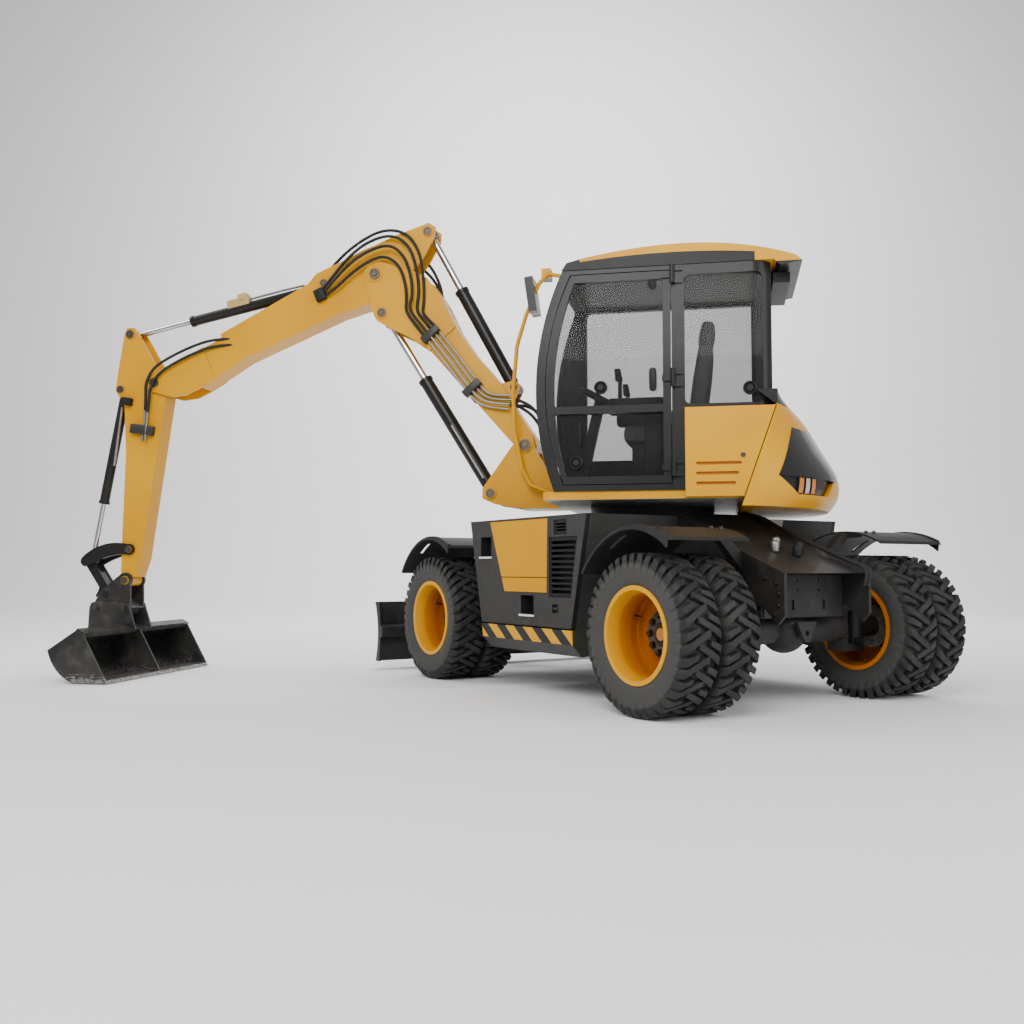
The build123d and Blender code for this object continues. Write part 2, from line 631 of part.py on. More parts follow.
def make_pod_doors():
    """The pod's outer sheet, hinged along its top edge, with its steps and its cut-outs."""
    face = side(POD_FACE_Y)
    with BuildPart() as door:
        prism(face, pod_outline(), POD_DOOR - JOINT_GAP)
        with BuildSketch(face):
            with BuildLine():
                Polyline(*panel_outline(), close=True)
            make_face()
        extrude(amount=PANEL_POCKET, mode=Mode.SUBTRACT)
        for outline in (grille_outline(), vent_outline()):
            with BuildSketch(face):
                with BuildLine():
                    Polyline(*outline, close=True)
                make_face()
            extrude(amount=POD_DOOR, mode=Mode.SUBTRACT)
        for rear, front, foot, head in POD_STEPS:
            middle = ((front + rear) / 2, (foot + head) / 2)
            for grow, depth, mode in ((2 * STEP_SHEET, STEP_DEPTH, Mode.ADD),
                                      (0, STEP_DEPTH - STEP_SHEET, Mode.SUBTRACT)):
                with BuildSketch(face):
                    with Locations(middle):
                        RectangleRounded(front - rear + grow, head - foot + grow, 10 + grow / 2)
                extrude(amount=depth, mode=mode)
            prism(side(POD_FACE_Y + STEP_LIP_PROUD), ((rear - 8, foot), (rear - 8, foot - STEP_LIP),
                                                      (front + 8, foot - STEP_LIP), (front + 8, foot)),
                  STEP_LIP_PROUD + 10)
        # Latch: a recess with a bar left standing in it
        with BuildSketch(face):
            with Locations(LATCH):
                RectangleRounded(72, 58, 8)
                Rectangle(50, 14, mode=Mode.SUBTRACT)
        extrude(amount=16, mode=Mode.SUBTRACT)
    with BuildPart() as panel:
        with BuildSketch(side(POD_FACE_Y + PANEL_PROUD)):
            with BuildLine():
                Polyline(*panel_outline(), close=True)
            make_face()
            offset(amount=-PANEL_EDGE, kind=Kind.INTERSECTION, mode=Mode.REPLACE)
            with Locations((0, PANEL_SPLIT_Z)):
                Rectangle(2 * POD_TOP_HALF, 2 * PANEL_EDGE, mode=Mode.SUBTRACT)
        extrude(amount=PANEL_PROUD + PANEL_POCKET - SEAT_GAP)
    with BuildPart() as grille:
        for outline, rows in ((grille_outline(), GRILLE_SLOTS), (vent_outline(), VENT_SLOTS)):
            with BuildSketch(side(POD_FACE_Y - GRILLE_DEPTH)):
                with BuildLine():
                    Polyline(*outline, close=True)
                make_face()
                offset(amount=-SEAT_GAP, kind=Kind.INTERSECTION, mode=Mode.REPLACE)
            extrude(amount=GRILLE_SHEET)
            slats(outline, rows, GRILLE_DEPTH + GRILLE_SHEET + 1)
    for hand, flip in (("left", False), ("right", True)):
        save(door, f"pod_door_{hand}", flip=flip)
        save(panel, f"pod_panel_{hand}", flip=flip)
        save(grille, f"pod_grille_{hand}", flip=flip)


def ring_point(angle, radius):
    return (radius * cos(radians(angle)), radius * sin(radians(angle)))


def make_fenders():
    """An arched sheet with an outer skirt that deepens towards its rear corner."""
    with BuildPart() as fender:
        outer, inner = FENDER_RADIUS, FENDER_RADIUS - FENDER_SHEET
        deep = FENDER_RADIUS - FENDER_SKIRT
        middle = (FENDER_FRONT_ANGLE + FENDER_REAR_ANGLE) / 2
        for low, y_high, y_low in ((inner, FENDER_OUTER_Y, FENDER_INNER_Y),
                                   (deep, FENDER_OUTER_Y, FENDER_OUTER_Y - FENDER_SHEET)):
            with BuildSketch(side(y_high)):
                with BuildLine():
                    ThreePointArc(ring_point(FENDER_FRONT_ANGLE, outer), ring_point(middle, outer),
                                  ring_point(FENDER_REAR_ANGLE, outer))
                    Line(ring_point(FENDER_REAR_ANGLE, outer), ring_point(FENDER_REAR_ANGLE + 2, low))
                    ThreePointArc(ring_point(FENDER_REAR_ANGLE + 2, low), ring_point(middle, inner),
                                  ring_point(FENDER_FRONT_ANGLE, inner))
                    Line(ring_point(FENDER_FRONT_ANGLE, inner), ring_point(FENDER_FRONT_ANGLE, outer))
                make_face()
            extrude(amount=y_high - y_low)
        # Raised bead along the outer edge, and the slot near the lower front corner
        bead = outer + FENDER_BEAD
        with BuildSketch(side(FENDER_OUTER_Y)):
            with BuildLine():
                ThreePointArc(ring_point(FENDER_FRONT_ANGLE, bead), ring_point(middle, bead),
                              ring_point(FENDER_REAR_ANGLE, bead))
                Line(ring_point(FENDER_REAR_ANGLE, bead), ring_point(FENDER_REAR_ANGLE, inner))
                ThreePointArc(ring_point(FENDER_REAR_ANGLE, inner), ring_point(middle, inner),
                              ring_point(FENDER_FRONT_ANGLE, inner))
                Line(ring_point(FENDER_FRONT_ANGLE, inner), ring_point(FENDER_FRONT_ANGLE, bead))
            make_face()
        extrude(amount=2 * FENDER_SHEET)
        foot = ring_point(FENDER_SLOT_ANGLE, outer)
        up = ring_point(FENDER_SLOT_ANGLE, 1)
        with BuildSketch(Plane(origin=(foot[0], FENDER_OUTER_Y - 105, foot[1]), x_dir=(-up[1], 0, up[0]),
                               z_dir=(up[0], 0, up[1]))):
            SlotOverall(*FENDER_SLOT)
        extrude(amount=2 * FENDER_SHEET, both=True, mode=Mode.SUBTRACT)
        # Bracket from the chassis side up to the sheet
        under = FENDER_RADIUS - FENDER_SHEET + 1
        foot_y = CHASSIS_HALF + SEAT_GAP
        with BuildSketch(Plane.YZ.offset(-FENDER_BRACKET / 2)):
            with BuildLine():
                Polyline((foot_y, 390), (foot_y, 500), (FENDER_INNER_Y - 30, under),
                         (FENDER_INNER_Y + 160, under), (FENDER_INNER_Y + 160, under - 26),
                         (FENDER_INNER_Y + 10, under - 40), close=True)
            make_face()
        extrude(amount=FENDER_BRACKET)
    return fender


def place_fenders():
    """A pair of fenders over each axle, one node to an axle."""
    fender = make_fenders()
    for end, x in (("front", AXLE_X), ("rear", -AXLE_X)):
        with BuildPart() as pair:
            add(fender.part)
            mirror(about=Plane.XZ)
        save(pair, f"fenders_{end}", Location((x, 0, WHEEL_Z)))


def make_blade():
    """Curved sheet with a box rib behind, end plates, two arms and the cylinder's lugs."""
    height = (BLADE_LOW_Z + BLADE_TOP_Z) / 2
    front = ((BLADE_X + 62, BLADE_TOP_Z), (BLADE_X, height), (BLADE_X + 46, BLADE_LOW_Z))
    back = ((BLADE_X + 62 - BLADE_SHEET, BLADE_TOP_Z), (BLADE_X - BLADE_SHEET, height),
            (BLADE_X + 46 - BLADE_SHEET, BLADE_LOW_Z))
    with BuildPart() as blade:
        with BuildSketch(side(BLADE_HALF)):
            with BuildLine():
                ThreePointArc(*front)
                Line(front[2], back[2])
                ThreePointArc(back[2], back[1], back[0])
                Line(back[0], front[0])
            make_face()
        extrude(amount=2 * BLADE_HALF)
        rib_back = BLADE_X - BLADE_SHEET - 78
        prism(side(BLADE_HALF), ((BLADE_X - 8, 392), (rib_back, 372), (rib_back, 288), (BLADE_X - 8, 268)),
              2 * BLADE_HALF)
        for y in (BLADE_HALF, -BLADE_HALF + BLADE_SHEET):
            with BuildSketch(side(y)):
                with BuildLine():
                    ThreePointArc(*front)
                    Polyline(front[2], (rib_back + 60, BLADE_LOW_Z), (rib_back + 36, height),
                             (rib_back + 66, BLADE_TOP_Z), front[0])
                make_face()
            extrude(amount=BLADE_SHEET)
        for y in (BLADE_ARM_Y + BLADE_ARM / 2, -BLADE_ARM_Y + BLADE_ARM / 2):
            pin_strap(side(y), ((BLADE_PIVOT, 62), ((rib_back - 20, 330), 62)), BLADE_ARM)
            prism(side(y), ((rib_back - 60, 392), (rib_back - 60, 268), (BLADE_X - 4, 268),
                            (BLADE_X - 4, 392)), BLADE_ARM)
        through(BLADE_TUBE, BLADE_TUBE_RADIUS, BLADE_ARM_Y)
        bosses(BLADE_PIVOT, PIN_RADIUS, BLADE_ARM_Y, CHASSIS_HALF - 4)
        for y, depth in both_sides(EYE_HALF + CLEAR, EYE_HALF + CLEAR + SIDE_PLATE):
            pin_strap(side(y), ((BLADE_CYL_EYE, 44), ((rib_back + 6, 346), 20)), depth)
    save(blade, "blade")


def cylinder_axis(base, tip):
    length, tilt = span(base, tip)
    return length, Location((base[0], 0, base[1]), (0, -tilt, 0))


def make_cylinder(label, base, tip, barrel, place, barrel_radius, rod_radius, base_eye, tip_eye, reach):
    """A barrel with its pin at the base, and the rod that comes out of it to the eye at the tip."""
    length, along = cylinder_axis(base, tip)
    along = place * along
    neck = base_eye * 0.86
    bottom = neck + BARREL_END
    with BuildPart() as tube:
        through((0, 0), base_eye, EYE_HALF)
        through((0, 0), SMALL_PIN, reach)
        with BuildSketch(Plane.YZ.offset(neck - 12)):
            Circle(barrel_radius * 0.8)
        with BuildSketch(Plane.YZ.offset(neck + 14)):
            Circle(barrel_radius)
        loft()
        with BuildSketch(Plane.YZ.offset(neck + 14)):
            Circle(barrel_radius)
        extrude(amount=barrel - neck - 14)
        with BuildSketch(Plane.YZ.offset(barrel)):
            Circle(barrel_radius + 6)
        extrude(amount=GLAND)
        with BuildSketch(Plane.YZ.offset(bottom)):
            Circle(rod_radius + ROD_FIT)
        extrude(amount=barrel + GLAND - bottom, mode=Mode.SUBTRACT)
    save(tube, f"{label}_barrel", along)
    # At rest the rod starts halfway down the bore, which leaves room to draw it in and out
    start = (bottom + barrel) / 2
    with BuildPart() as rod:
        with BuildSketch(Plane.YZ.offset(start)):
            Circle(rod_radius)
        extrude(amount=length - start)
        through((length, 0), tip_eye, EYE_HALF)
        through((length, 0), SMALL_PIN + 2, EYE_HALF + 1, Mode.SUBTRACT)
    save(rod, f"{label}_rod", along)


# Upper part


def upper_plan():
    """Plan of the upper frame: the tail circle, cut at the sides and across the front."""
    with BuildSketch(Plane.XY.offset(UPPER_LOW_Z)) as plan:
        Circle(FRAME_TAIL_RADIUS)
        with Locations(((UPPER_FRONT_X - TAIL_RADIUS) / 2, 0)):
            Rectangle(UPPER_FRONT_X + TAIL_RADIUS, 2 * (UPPER_HALF - FRAME_EDGE), mode=Mode.INTERSECT)
    return plan.sketch


def make_upper_frame():
    with BuildPart() as frame:
        extrude(upper_plan(), amount=FLOOR_Z - UPPER_LOW_Z)
        plate = (
            (905, 1915), (1015, 1905), (1300, 1510), (1302, 1430), (1200, 1385), (960, UPPER_LOW_Z),
            (540, UPPER_LOW_Z), (540, 1560), (790, 1640), (880, 1800),
        )
        for y in (NOSE_HALF, -NOSE_HALF + NOSE_PLATE):
            prism(side(y), plate, NOSE_PLATE)
        inner = NOSE_HALF - NOSE_PLATE
        prism(side(inner), ((540, UPPER_LOW_Z), (1000, UPPER_LOW_Z), (NOSE_WEB_X, FLOOR_Z - 18),
                            (NOSE_WEB_X, FLOOR_Z + 2), (700, FLOOR_Z + 2), (700, 1600),
                            (540, 1545)), 2 * inner)
        bosses(FOOT, 56, NOSE_HALF, NOSE_HALF + 14)
        bosses(LIFT_BASE, 46, BARREL_LUG_Y, NOSE_HALF + 12)
        through(FOOT, PIN_RADIUS + PIN_FIT, NOSE_HALF + 15, Mode.SUBTRACT)
        through(LIFT_BASE, SMALL_PIN + PIN_FIT, NOSE_HALF + 15, Mode.SUBTRACT)
    save(frame, "upper_frame", UPPER)


def cab_front(inset=0.0):
    """The curved front edge of the cab as an arc through three points."""
    return ((CAB_FRONT_LOW_X - inset, FLOOR_Z), (CAB_FRONT_MID_X - inset, CAB_FRONT_MID_Z),
            (CAB_FRONT_TOP_X - inset, CAB_TOP_Z))


def cab_profile(inset=0.0):
    """Side outline of the cab: curved front, level roof line and upright rear."""
    low, mid, top = cab_front(inset)
    with BuildLine() as line:
        ThreePointArc((low[0], low[1] + inset), mid, (top[0], top[1] - inset))
        Line((top[0], top[1] - inset), (CAB_REAR_X + 14 + inset, CAB_TOP_Z - inset))
        Line((CAB_REAR_X + 14 + inset, CAB_TOP_Z - inset), (CAB_REAR_X + inset, WAIST_Z))
        Line((CAB_REAR_X + inset, WAIST_Z), (CAB_REAR_X + inset, FLOOR_Z + inset))
        Line((CAB_REAR_X + inset, FLOOR_Z + inset), (low[0], low[1] + inset))
    return line.edges()


def door_outline(gap=0.0):
    """Door opening in the left wall: straight at the hinge, curved along the front pillar."""
    low, mid, top = cab_front(DOOR_FRONT_INSET)
    foot = FLOOR_Z + DOOR_SILL + gap
    head = CAB_TOP_Z - DOOR_HEAD - gap
    rear = PILLAR_X + PILLAR_WIDTH / 2 + gap
    with BuildLine() as line:
        ThreePointArc((low[0] - gap, foot), (mid[0] - gap, mid[1]), (top[0] + 8 - gap, head))
        Line((top[0] + 8 - gap, head), (rear, head))
        Line((rear, head), (rear, foot))
        Line((rear, foot), (low[0] - gap, foot))
    return line.edges()


def cab_plan(z, inset):
    """Plan of the cab at a height, with round corners at the rear."""
    rear, front = CAB_REAR_X + inset, CAB_FRONT_MID_X + 100
    left, right = CAB_LEFT_Y - inset, CAB_RIGHT_Y + inset
    with BuildSketch(Plane.XY.offset(z)) as plan:
        with Locations(((rear + front) / 2, (left + right) / 2)):
            Rectangle(front - rear, left - right)
        fillet(plan.vertices().group_by(Axis.X)[0], CAB_CORNER - inset)
    return plan.sketch


def cab_form(inset):
    """The cab as a closed form, drawn once for its outside and once smaller for its inside."""
    with BuildPart() as form:
        with BuildSketch(side(CAB_LEFT_Y - inset)):
            make_face(cab_profile(inset))
        extrude(amount=CAB_LEFT_Y - CAB_RIGHT_Y - 2 * inset)
        extrude(cab_plan(FLOOR_Z - 1, inset), amount=CAB_TOP_Z - FLOOR_Z + 2, mode=Mode.INTERSECT)
    return form.part


def make_cab():
    with BuildPart() as cab:
        add(cab_form(0))
        add(cab_form(CAB_WALL), mode=Mode.SUBTRACT)
        # Door opening
        with BuildSketch(side(CAB_LEFT_Y + 1)):
            make_face(door_outline())
        extrude(amount=CAB_WALL + 2, mode=Mode.SUBTRACT)
        # Rear quarter window, left, and the large window, right
        for y, rear, front, z_low, z_high in cab_windows():
            with BuildSketch(side(y + 1)):
                side_window(rear, front, z_low, z_high)
            extrude(amount=CAB_WALL + 2, mode=Mode.SUBTRACT)
        # Rear window and windscreen, cut straight through
        with BuildSketch(Plane.YZ.offset(CAB_REAR_X - 10)):
            rear_window()
        extrude(amount=CAB_WALL + 40, mode=Mode.SUBTRACT)
        with BuildSketch(Plane.YZ.offset(300)):
            front_window()
        extrude(amount=600, mode=Mode.SUBTRACT)
        for z in HINGE_HEIGHTS:
            hinge_part(z + 22 + PIN_FIT, z + 60, -66)
            hinge_part(z - 60, z - 22 - PIN_FIT, -66)
    save(cab, "cab_frame", UPPER)


def hinge_part(z_low, z_high, reach):
    """A hinge knuckle round the door's axis with a leaf that runs forward or back along the cab's side."""
    with BuildSketch(Plane.XY.offset(z_low)) as plan:
        with Locations(DOOR_HINGE):
            Circle(HINGE_KNUCKLE)
        with Locations((DOOR_HINGE[0] + reach / 2, CAB_LEFT_Y + HINGE_LEAF / 2)):
            Rectangle(abs(reach), HINGE_LEAF)
    extrude(plan.sketch, amount=z_high - z_low)


def cab_windows():
    """Side windows as (y of the wall's outer face, rear, front, low, high)."""
    return (
        (CAB_LEFT_Y, CAB_REAR_X + 70, PILLAR_X - PILLAR_WIDTH / 2, WAIST_Z + 20, CAB_TOP_Z - 70),
        (CAB_RIGHT_Y + CAB_WALL, CAB_REAR_X + 70, 470, WAIST_Z - 250, CAB_TOP_Z - 70),
    )


def front_window(gap=0.0):
    """Outline of the windscreen seen from the front."""
    with Locations(((CAB_LEFT_Y + CAB_RIGHT_Y) / 2, (FLOOR_Z + CAB_TOP_Z) / 2 + 20)):
        RectangleRounded(CAB_LEFT_Y - CAB_RIGHT_Y - 2 * CAB_WALL - 20 - 2 * gap,
                         CAB_TOP_Z - FLOOR_Z - 190 - 2 * gap, 60 - gap)


def rear_window(gap=0.0):
    with Locations(((CAB_LEFT_Y + CAB_RIGHT_Y) / 2, (WAIST_Z + CAB_TOP_Z) / 2 - 20)):
        RectangleRounded(CAB_LEFT_Y - CAB_RIGHT_Y - 2 * CAB_WALL - 60 - 2 * gap,
                         CAB_TOP_Z - WAIST_Z - 100 - 2 * gap, 50 - gap)


def side_window(rear, front, low, high, gap=0.0):
    with Locations(((rear + front) / 2, (low + high) / 2)):
        RectangleRounded(front - rear - 2 * gap, high - low - 2 * gap, 40 - gap)


def make_cab_glass():
    """Panes in the middle of the cab's walls, one solid each."""
    near, far = CAB_WALL / 2 - GLASS / 2, CAB_WALL / 2 + GLASS / 2
    low, mid, top = cab_front(near)
    low_in, mid_in, top_in = cab_front(far)
    with BuildPart() as glass:
        with BuildSketch(side(CAB_LEFT_Y)):
            with BuildLine():
                ThreePointArc(low, mid, top)
                Line(top, top_in)
                ThreePointArc(top_in, mid_in, low_in)
                Line(low_in, low)
            make_face()
        extrude(amount=CAB_LEFT_Y - CAB_RIGHT_Y)
        with BuildSketch(Plane.YZ.offset(300)):
            front_window(JOINT_GAP)
        extrude(amount=600, mode=Mode.INTERSECT)
        for y, rear, front, z_low, z_high in cab_windows():
            with BuildSketch(side(y - near)):
                side_window(rear, front, z_low, z_high, JOINT_GAP)
            extrude(amount=GLASS)
        with BuildSketch(Plane.YZ.offset(CAB_REAR_X + near + 6)):
            rear_window(JOINT_GAP)
        extrude(amount=GLASS)
    save(glass, "cab_glass", UPPER)


def make_roof():
    """Domed cap over the cab with an overhanging visor at the rear."""
    foot = CAB_TOP_Z + SEAT_GAP
    with BuildPart() as roof:
        with BuildSketch(side(CAB_LEFT_Y + 8)):
            with BuildLine():
                Polyline((CAB_FRONT_TOP_X - 100, foot), (CAB_FRONT_TOP_X + 4, foot),
                         (CAB_FRONT_TOP_X - 30, CAB_TOP_Z + 52), (CAB_FRONT_TOP_X - 130, CAB_TOP_Z + 76))
                Spline((CAB_FRONT_TOP_X - 130, CAB_TOP_Z + 76), (-190, ROOF_TOP_Z), (-780, ROOF_TOP_Z - 52),
                       (ROOF_REAR_X + 40, ROOF_TOP_Z - 120))
                Polyline((ROOF_REAR_X + 40, ROOF_TOP_Z - 120), (ROOF_REAR_X, ROOF_TOP_Z - 158),
                         (ROOF_REAR_X + 140, CAB_TOP_Z - 40), (CAB_REAR_X - 3, foot),
                         (CAB_FRONT_TOP_X - 100, foot))
            make_face()
        extrude(amount=CAB_LEFT_Y - CAB_RIGHT_Y + 16)
    save(roof, "cab_roof", UPPER)


def door_pane(z_low, z_high, gap=0.0):
    """One of the door's two windows, as a face on the current plane."""
    low, mid, top = cab_front(DOOR_FRONT_INSET + DOOR_GAP + DOOR_FRAME + gap)
    rear = PILLAR_X + PILLAR_WIDTH / 2 + DOOR_GAP + DOOR_FRAME + gap
    with BuildLine() as line:
        ThreePointArc(low, mid, top)
        Polyline(top, (rear, top[1]), (rear, low[1]), low)
    make_face(line.edges())
    with Locations(((rear + mid[0]) / 2, (z_low + z_high) / 2)):
        Rectangle(mid[0] - rear + 200, z_high - z_low - 2 * gap, mode=Mode.INTERSECT)


def make_door():
    foot = FLOOR_Z + DOOR_SILL + DOOR_GAP + DOOR_FRAME
    head = CAB_TOP_Z - DOOR_HEAD - DOOR_GAP - DOOR_FRAME
    panes = ((foot, WAIST_Z - DOOR_FRAME / 2), (WAIST_Z + DOOR_FRAME / 2, head))
    with BuildPart() as door:
        with BuildSketch(side(CAB_LEFT_Y)):
            make_face(door_outline(DOOR_GAP))
        extrude(amount=CAB_WALL)
        for z_low, z_high in panes:
            with BuildSketch(side(CAB_LEFT_Y + 1)):
                door_pane(z_low, z_high)
            extrude(amount=CAB_WALL + 2, mode=Mode.SUBTRACT)
        for z in HINGE_HEIGHTS:
            hinge_part(z - 22, z + 22, 72)
    save(door, "cab_door", UPPER)
    with BuildPart() as glass:
        for z_low, z_high in panes:
            with BuildSketch(side(CAB_LEFT_Y - CAB_WALL / 2 + GLASS / 2)):
                door_pane(z_low, z_high, JOINT_GAP)
            extrude(amount=GLASS)
    save(glass, "cab_door_glass", UPPER)


def side_edge(z):
    """Where the slanted rear edge of the left side panel stands at a height."""
    return max(PANEL_FOOT[0] - PANEL_SLOPE * (z - PANEL_FOOT[1]), CAB_REAR_X - 8)


def cowl_section(z, reach, flat, grow):
    """Plan of the rear body at one height: straight sides that turn into one arc across the tail."""
    turn = min(side_edge(z), COWL_FRONT_X) - flat
    half = COWL_HALF + grow
    with BuildSketch(Plane.XY.offset(z)) as plan:
        with BuildLine():
            Polyline((turn, half), (COWL_FRONT_X, half), (COWL_FRONT_X, -half), (turn, -half))
            ThreePointArc((turn, -half), (-reach - grow, 0), (turn, half))
        make_face()
    return plan.sketch


def cowl_form(grow=0.0):
    """The rear body as one form lofted through its plans."""
    with BuildPart() as form:
        loft([cowl_section(z, reach, flat, grow) for z, reach, flat in COWL_SECTIONS])
    return form.part


def lamp_plane(distance):
    """Upright plane in front of the left tail lamp: x runs across it, y runs up."""
    c, s = cos(radians(LAMP_SPREAD)), sin(radians(LAMP_SPREAD))
    return Plane(origin=(distance * c, distance * s, 0), x_dir=(-s, c, 0), z_dir=(c, s, 0))


def lamp_pocket(gap):
    """What the two tail lamp clusters fill in the rear body, grown by a gap."""
    with BuildPart() as pocket:
        with BuildSketch(lamp_plane(LAMP_BASE)):
            for outline in (LAMP_VISOR, LAMP_FOOT):
                with BuildLine():
                    Polyline(*outline, close=True)
                make_face()
            offset(amount=gap, kind=Kind.INTERSECTION, mode=Mode.REPLACE)
        extrude(amount=480)
        add(cowl_form(-LAMP_DEPTH - gap), mode=Mode.SUBTRACT)
        mirror(about=Plane.XZ)
    return pocket.part


def make_cowl():
    """Rear body of the upper, with pockets for the tail lamps."""
    low, high = COWL_SECTIONS[0][0] - 10, COWL_SECTIONS[-1][0] + 10
    with BuildPart() as cowl:
        add(cowl_form())
        with Locations((0, 0, UPPER_LOW_Z - JOINT_GAP)):
            Cylinder(FRAME_TAIL_RADIUS + JOINT_GAP, FLOOR_Z - UPPER_LOW_Z + 2 * JOINT_GAP,
                     align=(Align.CENTER, Align.CENTER, Align.MIN), mode=Mode.SUBTRACT)
        extrude(cab_plan(FLOOR_Z - 1, -1), amount=high - FLOOR_Z, mode=Mode.SUBTRACT)
        # Slanted front edge on the left, a gap behind the side panel
        with BuildSketch(side(COWL_HALF + 10)):
            with BuildLine():
                Polyline((side_edge(low) - PANEL_GAP, low), (side_edge(WAIST_Z - 4) - PANEL_GAP, WAIST_Z - 4),
                         (CAB_REAR_X + CAB_CORNER, high), (0, high), (0, low), close=True)
            make_face()
        extrude(amount=COWL_HALF + 10 - CAB_RIGHT_Y + 8, mode=Mode.SUBTRACT)
        add(lamp_pocket(SEAT_GAP), mode=Mode.SUBTRACT)
    save(cowl, "rear_cowl", UPPER)


def make_tail_lamps():
    """A moulded visor over three upright lights, one cluster on each side of the tail."""
    width, light_low, light_high = LAMP_LIGHT
    lights = [((t - width / 2, light_low), (t + width / 2, light_low), (t + width / 2, light_high),
               (t - width / 2, light_high)) for t in LAMP_LIGHTS]
    pieces = []
    layers = (
        # outlines, how far they stand out of the rear body
        ((LAMP_VISOR,), LAMP_PROUD),
        ((LAMP_FOOT,), -LAMP_RECESS),
        (lights, -LAMP_RECESS / 3),
    )
    for outlines, grow in layers:
        with BuildPart() as piece:
            for outline in outlines:
                prism(lamp_plane(LAMP_BASE), outline, 480)
            add(cowl_form(grow), mode=Mode.INTERSECT)
            add(cowl_form(-LAMP_DEPTH), mode=Mode.SUBTRACT)
        pieces.append(piece.part)
    with BuildPart() as lamps:
        for piece in pieces:
            add(piece)
        extrude(cab_plan(FLOOR_Z - 1, -1), amount=WAIST_Z - FLOOR_Z, mode=Mode.SUBTRACT)
        mirror(about=Plane.XZ)
    save(lamps, "tail_lamps", UPPER)


def make_right_body():
    with BuildPart() as body:
        prism(side(-NOSE_HALF - 20), ((430, FLOOR_Z + SEAT_GAP), (COWL_FRONT_X + 2, FLOOR_Z + SEAT_GAP),
                                      (COWL_FRONT_X + 2, 1880), (-200, 1840), (240, 1700), (430, 1560)),
              UPPER_HALF - NOSE_HALF - 40)
    save(body, "right_body", UPPER)


def make_quarter_panel():
    """Left side panel between the door pillar and the rear body, with its louvres and lock."""
    front, top = PILLAR_X - 40, WAIST_Z - 4
    foot_z = PANEL_FOOT[1]
    with BuildPart() as panel:
        prism(side(COWL_HALF), ((front, foot_z), (front, top), (side_edge(top), top),
                                (side_edge(foot_z), foot_z)), COWL_HALF - CAB_LEFT_Y - SEAT_GAP)
        fillet(panel.faces().sort_by(Axis.Y)[-1].edges(), PANEL_GAP)
        with BuildSketch(side(COWL_HALF)):
            for row in range(LOUVRES):
                z = FLOOR_Z + 40 + row * LOUVRE_PITCH
                rear = side_edge(z) - 8 + row * PANEL_SLOPE * 10
                with Locations(((front - 70 + rear + 90) / 2, z)):
                    SlotOverall(front - 70 - rear - 90, LOUVRE_HEIGHT)
        extrude(amount=LOUVRE_DEPTH, mode=Mode.SUBTRACT)
        across(PANEL_LOCK, 16, COWL_HALF + 5, COWL_HALF - 5)
    save(panel, "quarter_panel", UPPER)


def make_seat():
    y = (CAB_LEFT_Y + CAB_RIGHT_Y) / 2
    half = SEAT_WIDTH / 2
    with BuildPart() as seat:
        with Locations((SEAT_X, y, FLOOR_Z + CAB_WALL + SEAT_GAP)):
            Box(380, 360, 320, align=(Align.CENTER, Align.CENTER, Align.MIN))
        prism(side(y + half), ((SEAT_X + 260, 1750), (SEAT_X + 260, 1850), (SEAT_X - 190, 1870),
                               (SEAT_X - 250, 2400), (SEAT_X - 340, 2400), (SEAT_X - 290, 1750)), 2 * half)
        with Locations((SEAT_X - 300, y, 2395)):
            Box(80, 240, 190, align=(Align.CENTER, Align.CENTER, Align.MIN))
    save(seat, "seat", UPPER)


def make_controls():
    y = (CAB_LEFT_Y + CAB_RIGHT_Y) / 2
    with BuildPart() as column:
        foot = FLOOR_Z + CAB_WALL + SEAT_GAP
        prism(side(y + 40), ((430, foot), (500, foot), (350, 2100), (288, 2066)), 80)
        with BuildSketch(Plane(origin=(310, y, 2070), x_dir=(0, 1, 0), z_dir=(-0.5, 0, 0.866))):
            Circle(STEERING_RADIUS)
            Circle(STEERING_RADIUS - 24, mode=Mode.SUBTRACT)
            Rectangle(2 * STEERING_RADIUS - 40, 30)
            Circle(45)
        extrude(amount=26)
    save(column, "controls", UPPER)


def make_mirrors():
    """A bent bar from the front of the frame up to the roof, with its mirror and lamp."""
    y = CAB_RIGHT_Y + CAB_WALL
    with BuildPart() as mirrors:
        with BuildLine(side(y)):
            path = FilletPolyline(*MIRROR_BAR, radius=40)
        with BuildSketch(Plane(origin=path @ 0, z_dir=path % 0)):
            Circle(MIRROR_BAR_RADIUS)
        sweep()
        with Locations(Location((MIRROR_AT[0], y, MIRROR_AT[1]), (0, 8, 0))):
            Box(64, 200, 270)
        with Locations((WORK_LAMP_AT[0], y - 60, WORK_LAMP_AT[1])):
            Box(70, 110, 80)
        # Foot plate on the front of the frame
        with Locations((CAB_FRONT_LOW_X + 54, y, FLOOR_Z + SEAT_GAP)):
            Box(80, 90, 24, align=(Align.CENTER, Align.CENTER, Align.MIN))
    save(mirrors, "mirror_bar", UPPER)


def make_lamp_bar():
    """Lamp unit under the rear of the roof."""
    with BuildPart() as bar:
        y = (CAB_LEFT_Y + CAB_RIGHT_Y) / 2
        with Locations((CAB_REAR_X - 62, y, CAB_TOP_Z - 40 - SEAT_GAP)):
            Box(110, 620, 70, align=(Align.CENTER, Align.CENTER, Align.MAX))
    save(bar, "rear_lamp_bar", UPPER)


# Arm


